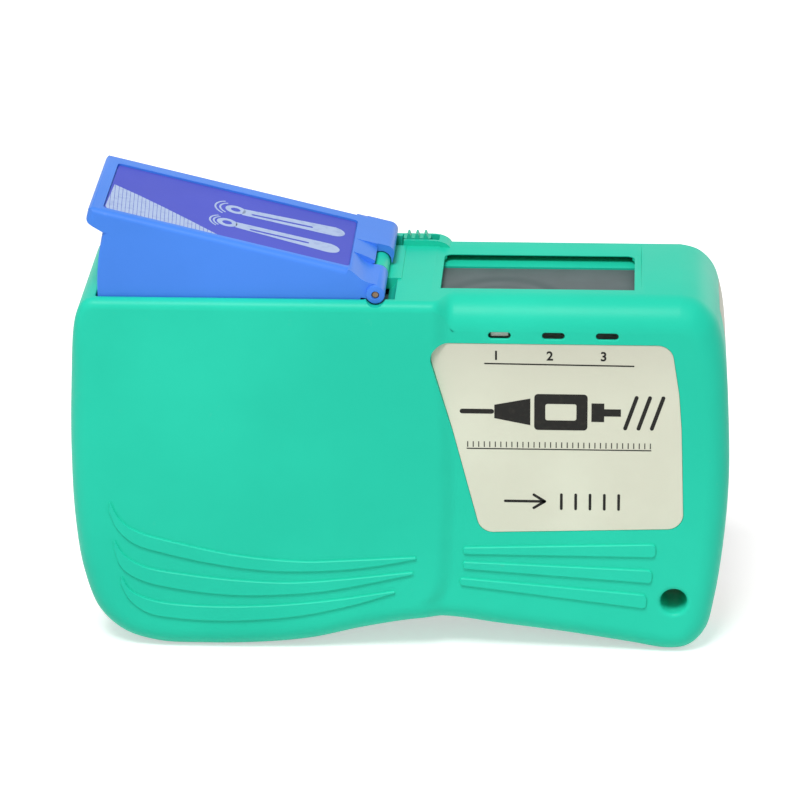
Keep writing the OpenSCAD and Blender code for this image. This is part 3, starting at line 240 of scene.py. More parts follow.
def face_step(x, z):
    """0 on the left part of the front face, 1 on the right part, with the blend between them."""
    lean = step_x + step_lean * (soft(1 - abs(z - case_h / 2) / (case_h / 2)) - 0.5)
    curl = np.where(x > curl_x, np.hypot(x - curl_x, z - curl_z) - curl_r, -step_blend)
    return soft(np.where(z > curl_z, x - lean, curl) / step_blend + 0.5)


def face_y(x, z):
    return mix(y_lobe, y_right, face_step(x, z))


def edge_radius(x, z):
    top = mix(lobe_top_edge, right_top_edge, soft((x - step_x) / step_blend + 0.5))
    return mix(side_edge, top, soft((z / case_h - top_from) / top_over))


knots = np.array(left_side + underside + right_side) * [half_w, case_h]
ahead = [np.linalg.norm(knots[1] - knots[0]), 0]
behind = [np.linalg.norm(knots[-1] - knots[-2]), 0]
trace = through(list(np.vstack([knots[0] + ahead, knots, knots[-1] - behind])), fine_steps)
n_side, n_base = (len(left_side) - 1) * fine_steps, (len(underside) + 1) * fine_steps
n_round = 2 * (n_base + n_side)
under = trace[n_side:n_side + n_base + 1]
share = (under[:, 0] - under[0, 0]) / (under[-1, 0] - under[0, 0])
over_top = mix(trace[0], trace[-1], share[:, None])
outline = np.vstack([under[:-1], trace[n_side + n_base:-1], over_top[:0:-1], trace[:n_side + 1][:-1]])
along = np.roll(outline, -1, 0) - np.roll(outline, 1, 0)
inward = np.stack([-along[:, 1], along[:, 0]], 1)
inward /= np.linalg.norm(inward, axis=1)[:, None]
for _ in range(smoothings):
    inward = (np.roll(inward, 1, 0) + inward * 2 + np.roll(inward, -1, 0)) / 4
    inward /= np.linalg.norm(inward, axis=1)[:, None]
rounding = edge_radius(outline[:, 0], outline[:, 1])[:, None]
inner = outline + inward * rounding
inner_face = face_y(inner[:, 0], inner[:, 1])


def round_loop(r, turn, y0, way):
    """The outline moved in and along Y by a quarter circle of radius r."""
    p = outline + inward * r * (1 - math.cos(turn))
    return np.column_stack([p[:, 0], y0 + way * r[:, 0] * (1 - math.sin(turn)), p[:, 1]])


def solid(points, faces):
    """A closed mesh in millimetres, with its faces turned outwards."""
    mesh = bpy.data.meshes.new("solid")
    mesh.from_pydata([tuple(map(float, p)) for p in points], [], faces)
    shape = bmesh.new()
    shape.from_mesh(mesh)
    bmesh.ops.recalc_face_normals(shape, faces=shape.faces)
    shape.to_mesh(mesh)
    shape.free()
    return placed("solid", mesh)


def between(loops):
    """The faces between loops of as many points each."""
    n = len(loops[0])
    return [(k * n + i, k * n + (i + 1) % n, (k + 1) * n + (i + 1) % n, (k + 1) * n + i)
            for k in range(len(loops) - 1) for i in range(n)]


def over(loops, k):
    """One face over a loop."""
    n = len(loops[k])
    return tuple(range(k * n, k * n + n))


def stacked(loops):
    """A closed solid through loops of as many points each, with flat ends."""
    return solid(np.vstack(loops), between(loops) + [over(loops, 0), over(loops, len(loops) - 1)])


def lay(flat, axis, at):
    """A flat shape's points, put in the plane where X, Y or Z is at."""
    flat = np.asarray(flat, float)
    return np.insert(flat, "xyz".index(axis), at, axis=1)


def drawn(flat, axis, a, b):
    return stacked([lay(flat, axis, a), lay(flat, axis, b)])


def block(x0, x1, y0, y1, z0, z1):
    return drawn([(x0, y0), (x1, y0), (x1, y1), (x0, y1)], "z", z0, z1)


def circle(x, z, r, steps=48):
    turn = np.arange(steps) / steps * 2 * math.pi
    return np.column_stack([x + r * np.cos(turn), z + r * np.sin(turn)])


def rod(x, z, y0, y1, r):
    return drawn(circle(x, z, r), "y", y0, y1)


def rounded(corners, radius, steps=6):
    """A flat shape with its corners rounded."""
    corners, found = [np.array(c, float) for c in corners], []
    for k, c in enumerate(corners):
        u, v = corners[k - 1] - c, corners[(k + 1) % len(corners)] - c
        u, v = u / np.linalg.norm(u), v / np.linalg.norm(v)
        half = math.acos(np.clip(u @ v, -1, 1)) / 2
        reach = radius / math.tan(half)
        start, end = c + u * reach, c + v * reach
        middle = c + (u + v) / np.linalg.norm(u + v) * math.hypot(reach, radius)
        for t in np.arange(steps + 1) / steps:
            spoke = mix(start - middle, end - middle, t)
            found.append(middle + spoke / np.linalg.norm(spoke) * radius)
    return np.array(found)


def rectangle(x0, x1, z0, z1, radius, steps=6):
    return rounded([(x0, z0), (x1, z0), (x1, z1), (x0, z1)], radius, steps)


def flared(shape_at, axis, face, way, depth, edge):
    """A hole's cutter whose mouth is rounded off. shape_at gives the hole's shape, grown by a distance."""
    beyond, steps = 0.6, 7
    loops = [lay(shape_at(edge * (1 - math.sin(turn))), axis, face + way * edge * (1 - math.cos(turn)))
             for turn in np.linspace(0, math.pi / 2, steps)]
    return stacked([lay(shape_at(edge), axis, face - way * beyond)] + loops
                   + [lay(shape_at(0), axis, face + way * depth)])


def plain(thing):
    """An object's shape after its modifiers, as a plain mesh. The modifiers go."""
    bpy.context.view_layer.update()
    mesh = bpy.data.meshes.new_from_object(thing.evaluated_get(bpy.context.evaluated_depsgraph_get()))
    thing.modifiers.clear()
    return mesh


def carve(base, how, tools):
    """Cuts tools from a solid, or adds or intersects them, and takes the tools away."""
    for tool in tools:
        change = base.modifiers.new("change", "BOOLEAN")
        change.operation, change.object, change.solver = how, tool, "EXACT"
    base.data = plain(base)
    for tool in tools:
        bpy.data.objects.remove(tool)
    return base


def settle(thing, name, material, body, node=None, sharp=30):
    """Brings a finished solid to metres, smooths it between its edges and gives it to its body."""
    thing.name = name
    mesh = thing.data
    shape = bmesh.new()
    shape.from_mesh(mesh)
    bmesh.ops.remove_doubles(shape, verts=shape.verts, dist=0.0005)
    bmesh.ops.dissolve_degenerate(shape, edges=shape.edges, dist=0.0005)
    shape.to_mesh(mesh)
    shape.free()
    mesh.transform(Matrix.Scale(mm, 4))
    mesh.shade_smooth()
    mesh.set_sharp_from_angle(angle=math.radians(sharp))
    mesh.materials.clear()
    mesh.materials.append(material)
    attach(thing, body)
    if node:
        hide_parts(node)
    return thing


def outer_skin():
    """The whole outer skin of both mouldings, closed."""
    loops = [round_loop(rounding, math.pi / 2 * k / front_loops, inner_face, 1) for k in range(front_loops, -1, -1)]
    rear = np.minimum(rounding, rear_edge)
    loops += [round_loop(rear, math.pi / 2 * k / rear_loops, y_back, -1) for k in range(rear_loops + 1)]
    loops.append(lay(outline + inward * (rear + back_loop), "y", y_back))
    points, faces = list(np.vstack(loops)), between(loops) + [over(loops, len(loops) - 1)]
    b, r = inner[:n_base + 1], inner[n_base:n_base + n_side + 1]
    t = inner[n_base + n_side:2 * n_base + n_side + 1][::-1]
    l = np.vstack([inner[2 * n_base + n_side:], inner[:1]])[::-1]
    s = ((b[:, 0] - b[0, 0]) / (b[-1, 0] - b[0, 0]))[:, None, None]
    h = ((r[:, 1] - r[0, 1]) / (r[-1, 1] - r[0, 1]))[None, :, None]
    p = (mix(b[:, None], t[:, None], h) + mix(l[None], r[None], s)
         - mix(mix(b[0], b[-1], s), mix(t[0], t[-1], s), h))
    grid = np.stack([p[..., 0], face_y(p[..., 0], p[..., 1]), p[..., 1]], -1)
    start = len(points)
    points += list(grid[1:-1, 1:-1].reshape(-1, 3))

    def spot(u, v):
        if v == 0:
            return u
        if u == n_base:
            return n_base + v
        if v == n_side:
            return 2 * n_base + n_side - u
        if u == 0:
            return n_round - v
        return start + (u - 1) * (n_side - 1) + v - 1

    faces += [(spot(u, v), spot(u, v + 1), spot(u + 1, v + 1), spot(u + 1, v))
              for u in range(n_base) for v in range(n_side)]
    return solid(points, faces)


def inside(inset, top, right=half_w):
    """The outline moved inwards, and cut off level at the top and upright at the right."""
    p = outline + inward * inset
    p = np.column_stack([p[:, 0], np.minimum(p[:, 1], top)])
    beyond = np.flatnonzero(p[:, 0] >= right)
    if not len(beyond):
        return p
    a, b = beyond[0], beyond[-1]
    return np.vstack([p[:a], [(right, p[a, 1]), (right, top)], p[b + 1:]])


def case_hollow():
    """The room inside both mouldings, deeper behind the left part and thinner under the window's rim."""
    cut_z, thin_y = rim_z + rim_t - 0.15, window_y1 + 1.6
    return carve(drawn(inside(wall, under_top), "y", y_right + wall, y_inner_back), "UNION", [
        drawn(inside(wall, under_top - hair, deep_x), "y", y_lobe + wall, y_right + wall + 0.5),
        block(window_x0 - 1, window_x1 + 1, window_y0 - 1, y_inner_back - hair, case_h - 2 * wall, rim_z),
        drawn([(window_y1 - 0.5, rim_z - 0.5), (window_y1 - 0.5, cut_z), (window_y1, cut_z), (thin_y, rim_z),
               (thin_y, rim_z - 0.5)], "x", window_x0 - 1, window_x1 + 1)])


def dish():
    """The shallow slopes that lead down to the window from its left, its right and from behind."""
    x0, x1, y1 = window_x0 - 1.4, window_x1 + 1.3, y_back - rear_edge
    slopes = drawn([(window_y0, case_h), (window_y1, case_h - dish_h), (y1, case_h), (y1, case_h + 1),
                    (window_y0, case_h + 1)], "x", x0 - 1, x1 + 1)
    return carve(slopes, "INTERSECT", [drawn([
        (x0, case_h + 2), (x0, case_h), (window_x0, case_h - dish_h), (x1 - 0.2, case_h - dish_h), (x1, case_h),
        (x1, case_h + 2)], "y", window_y0 - 1, y_back)])


def case_knuckle():
    """The eye of the case between the lever's two, with the web that joins it to the top."""
    y0, y1 = -4.15, 12.75
    return carve(rod(hinge_x, hinge_z, y0, y1, knuckle_r), "UNION", [
        block(hinge_x - knuckle_r / 2, hinge_x + trough_r + 0.5, y0 + hair, y1 - hair, under_top + 0.1,
              hinge_z - knuckle_r / 2)])


def latch_hump():
    """The raised bed of the latch, level from the hinge on and rounded down at its right end."""
    left, right, bend, front = hinge_x + 0.9, 8.6, 3.6, 13
    curve = [(right - bend * (1 - math.sin(a)), case_h - 1 + (hump_h + 1) * math.cos(a))
             for a in np.linspace(0, math.pi / 2, 13)]
    return drawn([(left, case_h - 1), (left, case_h + hump_h)] + curve, "y", front, y_back - 0.1)


def case_inside():
    """Ledges of the shutter, posts of the cartridge and of the crank, bosses, shelf and strap tube."""
    z0, z1, ledge_x1, sunk_y = shutter_z - shutter_t - 0.1, shutter_z + 0.2, 43.55, y_inner_back + 0.5
    lobe_in, right_in, arm_y0, arm_y1, boss_y = y_lobe + 1.5, y_right + 1.5, -11.3, -10.2, -12.9
    parts = [block(6.25, ledge_x1, 7.7, sunk_y, z0, z1), block(9.25, ledge_x1, -13.7, -8.7, z0, z1),
             block(-21.6, -16.4, 7.8, sunk_y, 62.8, 63.5), rod(strap_x, strap_z, right_in, part_y, strap_tube_r),
             rod(*guard_at, lobe_in, arm_y1, 2), rod(*crank_at, arm_y0, arm_y1, 2.5),
             rod(*stop_at, right_in, boss_y, 1.8), rod(*wheel_at, right_in, boss_y, 4)]
    for x, z in post_at:
        parts += [rod(x, z, lobe_in, -9.85, 2), rod(x, z, -10.3, -8.6, 1)]
    parts.append(drawn([(-27, 44), (-23, 44), (-19.75, 36), (-23.25, 36)], "y", arm_y0 + hair, arm_y1 - hair))
    return parts


def stadium(x, z, w, h):
    return rectangle(x - w / 2, x + w / 2, z - h / 2, z + h / 2, h / 2 - hair, 10)


front_case = carve(outer_skin(), "DIFFERENCE", [
    case_hollow(), block(-past_x, past_x, part_y, past_y, past_z, part_z), dish()])
front_case = carve(front_case, "UNION", [latch_hump(), case_knuckle()] + case_inside())
trough = carve(rod(hinge_x, hinge_z, well_y0, well_y1, trough_r), "DIFFERENCE", [case_knuckle()])
latch_slot = block(latch_x - latch_w / 2 - gap, latch_x + latch_w / 2 + latch_travel + gap,
                   latch_y - latch_d / 2 - gap, latch_y + latch_d / 2 + gap, case_h - 2 * wall, case_h + wall)
window = rectangle(window_x0, window_x1, window_y0, window_y1, 1.5)
thinned = block(slot_x - 3.2, slot_x + 2 * slot_pitch + 3.2, y_right + 0.5, y_right + wall + 0.1, slot_z - 2.2,
                slot_z + 1.8)
front_case = carve(front_case, "DIFFERENCE", [
    flared(lambda e: rectangle(well_x0 - e, well_x1 + e, well_y0 - e, well_y1 + e, 0.6 + e), "z", case_h, -1, 4, 0.25),
    trough, rod(hinge_x, hinge_z, -bore_past, well_y0 + 0.5, knuckle_r + gap),
    rod(hinge_x, hinge_z, -bore_past, bore_past, pin_r + pin_room), drawn(window, "z", rim_z - 0.5, case_h + 0.5),
    block(window_x0, window_x1, window_y0, 0, rim_z - 0.5, case_h + 0.5), latch_slot]
    + [flared(lambda e: stadium(slot_x + k * slot_pitch, slot_z, slot_w + 2 * e, slot_h + 2 * e), "y", y_right, 1, 2.5,
              0.2) for k in range(3)]
    + [drawn(rounded(label_corners, label_round, 10), "y", y_lobe - 0.5, y_right + label_t),
       flared(lambda e: circle(strap_x, strap_z, strap_r + e), "y", y_right, 1, 15, 0.8),
       rod(*wheel_at, -14.6, -12, 2.06), thinned])


def textured(name):
    """A new material, and the place on the object that its patterns follow."""
    material, flow = surface(name)
    return material, flow.node("ShaderNodeTexCoord", out=3)


def noise(place, scale, detail):
    return place.node("ShaderNodeTexNoise", {}, {"Vector": place, "Scale": scale, "Detail": detail})


def covered(flow, colour, roughness, shine, relief=None, metallic=0.0):
    """Ends a material in its surface. relief holds a height, its strength and its depth in metres."""
    sockets = {"Base Color": colour, "Roughness": roughness, "Specular IOR Level": shine, "Metallic": metallic}
    if relief:
        sockets["Normal"] = flow.node("ShaderNodeBump", {}, dict(zip(("Height", "Strength", "Distance"), relief)))
    flow.node("ShaderNodeOutputMaterial", {}, {"Surface": flow.node("ShaderNodeBsdfPrincipled", {}, sockets)})


def srgb(r, g, b):
    """A colour read as 0 to 255, as the shader wants it."""
    return tuple(((v / 255 + 0.055) / 1.055) ** 2.4 if v > 10 else v / 255 / 12.92 for v in (r, g, b)) + (1.0,)


def tone(colour, by, lift=0.0):
    return tuple(min(1, c * by + lift) for c in colour[:3]) + (1,)


def moulded(name, colour, roughness, grain=0.25, shine=0.3):
    """Moulded plastic: a fine eroded grain, faint flow marks, and scuffs where hands rub it."""
    material, place = textured(name)
    fine, broad, rubbed, speck = (noise(place, *sizes) for sizes in ((2600, 3), (24, 4), (90, 5), (700, 4)))
    scuffed = speck.step(0.66, 0.76) * rubbed.step(0.5, 0.7) * 0.5
    tint = scuffed.mix(broad.step(0.3, 0.7).mix(tone(colour, 0.95), tone(colour, 1.05, 0.003)), tone(colour, 0.9, 0.05))
    covered(place, tint, roughness + rubbed * 0.12 - 0.06, shine, (fine, grain, 0.00006))
    return material


case_plastic = moulded("case_plastic", srgb(34, 206, 173), 0.42, 0.25, 0.16)
settle(front_case, "case_moulding", case_plastic, "case", "front_case")


# Grip ribs. Six low flat-topped ridges are moulded on the front face for the fingers, in the green of the
# case. Three curve over the left part. Three grow wider to the right. Their edges are bevelled.
rib_h, rib_sink, rib_steps = 0.4, 0.3, 40
left_ribs = [
    ([(-52.6, 29.6), (-51, 26.3), (-48.1, 24.1), (-38.7, 21.4), (-29.4, 19.5), (-17.8, 18.5), (-10.7, 18.8),
      (2.9, 19.7)],
     [(-52.9, 27.4), (-51.6, 24.2), (-48.6, 21.4), (-43.5, 19.7), (-34.2, 17.6), (-24.8, 16.4), (-15.4, 16.4),
      (-6, 17.3), (3.1, 19.1)]),
    ([(-52, 22), (-50.6, 19.4), (-46.9, 17), (-38.9, 15.5), (-29.5, 14.5), (-20.1, 14.2), (-10.7, 15), (2.4, 16.7)],
     [(-52.3, 20.2), (-51.2, 16.6), (-47.9, 14.2), (-41.3, 12.5), (-31.9, 11.4), (-22.5, 11.5), (-13.1, 12.5),
      (2.4, 16)]),
    ([(-50.9, 14.7), (-49.5, 12.1), (-45.6, 10.2), (-39.1, 9.3), (-29.6, 9.2), (-20.2, 9.8), (-10.8, 11),
      (-0.9, 12.8)],
     [(-51.3, 13.2), (-49.9, 10.1), (-46.6, 7.5), (-41.5, 6.5), (-34.5, 6.1), (-27.4, 6.3), (-18, 7.4), (-8.5, 9.7),
      (-1, 12.2)])]
right_ribs = [([(12.1, 21.4), (46.2, 22.5)], [(12.1, 19.9), (46.2, 19.8)]),
              ([(12.1, 18.5), (45.6, 17.3)], [(12.1, 16.9), (45.6, 14.6)]),
              ([(11.5, 15.2), (44.6, 12.4)], [(11.5, 13.6), (44.6, 9.5)])]


def evenly(corners, steps):
    """Points at equal distances on a smooth curve through the corners."""
    c = np.array(corners, float)
    line = through([2 * c[0] - c[1]] + list(c) + [2 * c[-1] - c[-2]], 12) if len(c) > 2 else c
    run = np.concatenate([[0], np.cumsum(np.linalg.norm(np.diff(line, axis=0), axis=1))])
    at = np.linspace(0, run[-1], steps)
    return np.column_stack([np.interp(at, run, line[:, 0]), np.interp(at, run, line[:, 1])])


def grip_rib(top, bottom, y_face):
    """A ridge between two edges, with a bevel all round that also rounds its two ends."""
    top, bottom = evenly(top, rib_steps), evenly(bottom, rib_steps)
    middle, half = (top + bottom) / 2, (top - bottom) / 2
    run = np.gradient(middle, axis=0)
    run /= np.linalg.norm(run, axis=1)[:, None]
    rows = []
    ends = [math.pi / 2 * k / 5 for k in range(5)]
    stations = ([(0, -1, a) for a in ends[:0:-1]] + [(k, 0, 0) for k in range(rib_steps)]
                + [(rib_steps - 1, 1, a) for a in ends[1:]])
    for k, way, a in stations:
        width = np.linalg.norm(half[k])
        centre = middle[k] + run[k] * way * width * 0.6 * math.sin(a)
        across_rib = half[k] * math.cos(a)
        low = min(1, 0.25 / max(width * math.cos(a), 0.001))
        rise_here = rib_h * min(1, 1.3 * math.cos(a))
        rows.append([(*(centre + across_rib * f), y) for f, y in (
            (1, rib_sink), (1, 0), (1 - 0.35 * low, -0.7 * rise_here), (1 - low * 0.9, -rise_here),
            (low * 0.9 - 1, -rise_here), (0.35 * low - 1, -0.7 * rise_here), (-1, 0), (-1, rib_sink))])
    return stacked([[(x, y_face + y, z) for x, z, y in row] for row in rows])


def joined(things):
    """Several solids as one object."""
    whole = bmesh.new()
    for thing in things:
        whole.from_mesh(thing.data)
    mesh = bpy.data.meshes.new("joined")
    whole.to_mesh(mesh)
    whole.free()
    for thing in things[1:]:
        bpy.data.objects.remove(thing)
    things[0].data = mesh
    return things[0]


ribs = [grip_rib(top, bottom, y_lobe) for top, bottom in left_ribs]
ribs += [grip_rib(top, bottom, y_right) for top, bottom in right_ribs]
settle(joined(ribs), "grip_ribs", case_plastic, "case")


# Instruction label. A stiff pale film with rounded corners is glued into a shallow seat of the front face.
# It is printed in dark ink, here with plain numbers under the three slots, a scale and a plug being wiped.
film_edge, film_front, ink_t = 0.08, y_right + 0.1, 0.03
number_z, number_h, number_in = 59, 1.7, 0.6


def label_surface():
    """Pale satin film with fine grain and finger marks, and a painted sheen that makes it a little greyer towards its
    top edge.
    """
    material, place = textured("label_film")
    marks, grain = noise(place, 55, 5), noise(place, 3200, 2)
    cloudy = marks.step(0.35, 0.7).mix(srgb(218, 219, 199), srgb(224, 226, 206))
    # Painted sheen: the film is mixed towards a greyer colour near its top edge, where it catches the light.
    tint = (place.part("Z").step(0.049, 0.0625) * 0.75).mix(cloudy, srgb(203, 202, 184))
    covered(place, tint, 0.45 + marks * 0.12, 0.3, (grain, 0.15, 0.00005))
    return material


def ink_surface(name, colour, missing):
    """Screen printed ink, with the faint mottle of the screen."""
    material, place = textured(name)
    mottle = noise(place, 900, 3)
    covered(place, mottle.step(0.45, 0.8).mix(colour, missing), 0.5 + mottle * 0.15, 0.25)
    return material


def shrunk(corners, by):
    """A flat shape made smaller by moving each corner along its two edges' inner normals."""
    c = np.array(corners, float)
    before, after = c - np.roll(c, 1, 0), np.roll(c, -1, 0) - c
    turn = np.sign(np.sum(before[:, 0] * after[:, 1] - before[:, 1] * after[:, 0]))
    n1, n2 = (turn * v[:, ::-1] * [-1, 1] / np.linalg.norm(v, axis=1)[:, None] for v in (before, after))
    m = n1 + n2
    return c + m * (2 * by / np.sum(m * m, axis=1))[:, None]


def printed(flat):
    return drawn(flat, "y", film_front, film_front - ink_t)


def stroke(x0, z0, x1, z1, width):
    """A straight printed line with round ends."""
    a, b = np.array([x0, z0], float), np.array([x1, z1], float)
    turn = math.atan2(*(b - a)[::-1])
    arc = np.linspace(math.pi / 2, 3 * math.pi / 2, 9)
    ring = [a + width / 2 * np.array([math.cos(turn + t), math.sin(turn + t)]) for t in arc]
    ring += [b + width / 2 * np.array([math.cos(turn + t), math.sin(turn + t)]) for t in arc + math.pi]
    return ring


def number(text, x, z, height):
    """A printed number, made a mesh first and then laid on the label."""
    curve = bpy.data.curves.new("number", "FONT")
    curve.body, curve.size, curve.extrude, curve.offset = text, height / 0.7, ink_t / 2, 0.06
    curve.align_x, curve.align_y, curve.resolution_u = "CENTER", "CENTER", 4
    writing = placed("number", curve)
    mesh = plain(writing)
    bpy.data.objects.remove(writing)
    mesh.transform(Matrix(((1, 0, 0, x), (0, 0, -1, film_front - ink_t / 2), (0, 1, 0, z), (0, 0, 0, 1))))
    return placed("number", mesh)


def grown(name, sizes, build, material):
    """Runs a Geometry Nodes tree with named inputs and gives its result as a plain object."""
    tree = bpy.data.node_groups.new(name, "GeometryNodeTree")
    tree.interface.new_socket("Geometry", in_out="OUTPUT", socket_type="NodeSocketGeometry")
    for key, value in sizes.items():
        tree.interface.new_socket(key, in_out="INPUT", socket_type={
            int: "NodeSocketInt", float: "NodeSocketFloat", bpy.types.Object: "NodeSocketObject"}[type(value)])
    flow = Flow(tree)
    given = flow.node("NodeGroupInput").socket.node.outputs
    whole = flow.node("GeometryNodeRealizeInstances", {}, {
        0: build(flow, {key: Flow(tree, given[key]) for key in sizes})})
    dressed = flow.node("GeometryNodeSetMaterial", {}, {"Geometry": whole, "Material": material})
    flow.node("NodeGroupOutput", {}, {"Geometry": dressed})
    thing = placed(name, bpy.data.meshes.new(name))
    change = thing.modifiers.new("grown", "NODES")
    change.node_group = tree
    for socket in tree.interface.items_tree:
        if socket.in_out == "INPUT":
            change[socket.identifier] = sizes[socket.name]
    thing.data = plain(thing)
    return thing


def row_of(flow, given):
    """Copies of one small solid along a straight row."""
    step = flow.node("ShaderNodeCombineXYZ", {}, {"X": given["Pitch"]})
    points = flow.node("GeometryNodeMeshLine", {}, {"Count": given["Count"], "Offset": step})
    shape = flow.node("GeometryNodeObjectInfo", {}, {"Object": given["Solid"]}, out=4)
    return flow.node("GeometryNodeInstanceOnPoints", {}, {"Points": points, "Instance": shape})


label_film = label_surface()
label_ink = ink_surface("label_ink", srgb(22, 21, 18), srgb(38, 36, 31))
label_shape = rounded(shrunk(label_corners, film_edge), label_round - film_edge, 12)
film = stacked([lay(label_shape, "y", y_right + label_t), lay(label_shape, "y", film_front + 0.05),
                lay(mix(label_shape, label_shape.mean(0), 0.0012), "y", film_front)])
settle(film, "label_film", label_film, "case", "label_plate")
tick = printed([(12.5, 41.2), (12.68, 41.2), (12.68, 42.3), (12.5, 42.3)])
ticks = grown("scale_ticks", {"Count": 34, "Pitch": 1.0, "Solid": tick}, row_of, label_ink)
bpy.data.objects.remove(tick)
body_hole = drawn(rectangle(26.6, 32.2, 46.6, 49.8, 0.4), "y", film_front + 1, film_front - 1)
plug_body = carve(printed(rectangle(24.6, 34.2, 44.7, 51.7, 0.7)), "DIFFERENCE", [body_hole])
boot, collar, tip = ([(17.4, 46.9), (23.9, 45.6), (23.9, 50.8), (17.4, 49.5)],
                     [(34.9, 46.4), (37.2, 46.4), (37.2, 50), (34.9, 50)],
                     [(37.2, 47.5), (40.2, 47.5), (40.2, 48.9), (37.2, 48.9)])
underline, scale_line = (15.7, 57.5, 42.4, 57.3, 0.25), (12.5, 40.9, 45.7, 40.9, 0.2)
cable = (11.6, 48.2, 16.9, 48.2, 0.9)
wipes = [(41 + k * 2.4, 45.2, 43 + k * 2.4, 51.2, 0.7) for k in range(3)]
arrow = [(x, z, 26.6, 30.6, 0.5) for x, z in ((19.4, 30.6), (24.6, 31.9), (24.6, 29.3))]
bars = [(29.6 + k * 2.6, 29.2, 29.6 + k * 2.6, 32, 0.5) for k in range(5)]
prints = [ticks, plug_body] + [
    number(str(k + 1), slot_x - number_in + k * slot_pitch, number_z, number_h) for k in range(3)]
prints += [printed(stroke(*line)) for line in [underline, cable] + wipes + [scale_line] + arrow + bars]
prints += [printed(shape) for shape in (boot, collar, tip)]
settle(joined(prints), "label_print", label_ink, "case")


# Rear cover. One moulding of warm pale grey plastic closes the case from behind. Two hooks at its foot hang
# in the front moulding, a catch at its top waits for the latch, and a ring stands round the cord's knot.
knot_r, strap_ring = strap_r + 1.2, 1.6
hook_at, hook_w, hook_reach, hook_z0, hook_z1 = (-43.2, 48), 5, 3, 3.2, 4.4
catch_x0, catch_x1, catch_t, catch_low, catch_up = -2.75, -0.95, 1.3, 8, 1.6
cover_z = part_z - gap
rear_cover = carve(outer_skin(), "INTERSECT", [block(-past_x, past_x, part_y + gap, past_y, past_z, cover_z)])
rear_cover = carve(rear_cover, "DIFFERENCE", [drawn(inside(wall, cover_z + 3), "y", part_y - 0.5, y_inner_back)])
cover_parts = [rod(strap_x, strap_z, part_y + gap, y_back - 1, knot_r + strap_ring)]
for x in hook_at:
    x0, x1 = x - hook_w / 2, x + hook_w / 2
    cover_parts += [block(x0, x1, part_y - hook_reach, part_y + hook_reach, hook_z0, hook_z1),
                    block(x0 + hair, x1 - hair, part_y + gap, part_y + hook_reach - hair, 1, hook_z1 - hair)]
catch_y = y_inner_back - catch_t
cover_parts += [block(catch_x0, catch_x1, catch_y, y_inner_back + 0.5, part_z - catch_low, cover_z - hair),
                block(catch_x0 + hair, catch_x1 - hair, catch_y + hair, y_inner_back - gap, part_z - catch_low + hair,
                      part_z + catch_up)]
rear_cover = carve(rear_cover, "UNION", cover_parts)
rear_cover = carve(rear_cover, "DIFFERENCE", [
    flared(lambda e: circle(strap_x, strap_z, knot_r + e), "y", y_back, -1, 20, 0.8)])
cover_plastic = moulded("cover_plastic", srgb(198, 200, 182), 0.48)
settle(rear_cover, "cover_moulding", cover_plastic, "cover", "rear_cover")


# Cover latch. A small green slider sits in a slot of the hump, with three ridges for the fingertip. Its stem
# reaches down to a hook that holds the rear cover's catch.
ridge_pitch, ridge_w, ridge_top, ridge_h, stem, hook_left = 1.55, 1.1, 0.3, 1, 1.2, 2.9
latch_z = case_h + hump_h
latch_y0, latch_y1, first_x = latch_y - latch_d / 2, latch_y + latch_d / 2, latch_x - ridge_pitch
cap = drawn(rectangle(latch_x - latch_w / 2, latch_x + latch_w / 2, latch_y0, latch_y1, 0.35), "z",
            under_top + 0.2, latch_z + 0.1)
ridge = drawn(rounded([(first_x - ridge_w / 2, latch_z - 0.2), (first_x + ridge_w / 2, latch_z - 0.2),
                       (first_x + ridge_top / 2, latch_z + ridge_h), (first_x - ridge_top / 2, latch_z + ridge_h)],
                      0.12, 3), "y", latch_y0 + 0.05, latch_y1 - 0.05)
latch_plastic = moulded("latch_plastic", srgb(40, 190, 158), 0.45)
ridges = grown("latch_ridges", {"Count": 3, "Pitch": ridge_pitch, "Solid": ridge}, row_of, latch_plastic)
bpy.data.objects.remove(ridge)
latch = carve(cap, "UNION", [
    ridges, block(latch_x - stem, latch_x + stem, latch_y0 + hair, y_inner_back - gap, part_z - 0.4, under_top + 0.5),
    block(latch_x - hook_left, latch_x + stem - hair, latch_y0 + 2 * hair, y_inner_back - gap - hair,
          part_z - 0.4 + hair, part_z + 0.9)])
settle(latch, "latch_slider", latch_plastic, "latch", "cover_latch")


# Press lever. A long blue moulding turns on the hinge pin: a plate with a thumb lip, a tall front wall, and
# below it a leg that pushes the crank and a finger for the drive pawl. It is drawn level about its pin.
lever_r, lever_y0, lever_y1, lever_top, lever_wall, lever_tilt = 50, -14.3, 15.2, 3.2, 1.5, 13.7
top_r, lip_end, skirt_low, plate_low, pocket_floor = 1.2, -53.4, -14, 1.4, 2.6
knuckle_y0, knuckle_y1, knuckle_y2, hood_y0, hood_s = -15.2, -4.3, 12.9, 2.2, 2.1
pawl_n, eye_r, pawl_bore_r, leg_s, leg_n = -19.5, 2.3, 1.02, -18.858, -28.483
pocket = np.array((-50.9, -5.6, -12.4, 11.4))


def raised(thing):
    """Turns a solid drawn level up to the lever's rest angle."""
    thing.data.transform(Matrix.Translation((hinge_x, 0, hinge_z)) @ Matrix.Rotation(math.radians(lever_tilt), 4, "Y"))
    return thing


def arc(x, z, r, start, end, steps=10):
    turn = np.radians(np.linspace(start, end, steps))
    return list(zip(x + r * np.cos(turn), z + r * np.sin(turn)))


def lever_plan(left, radius):
    return drawn(rectangle(left, 9, lever_y0, lever_y1, radius, 8), "z", -18, 6)


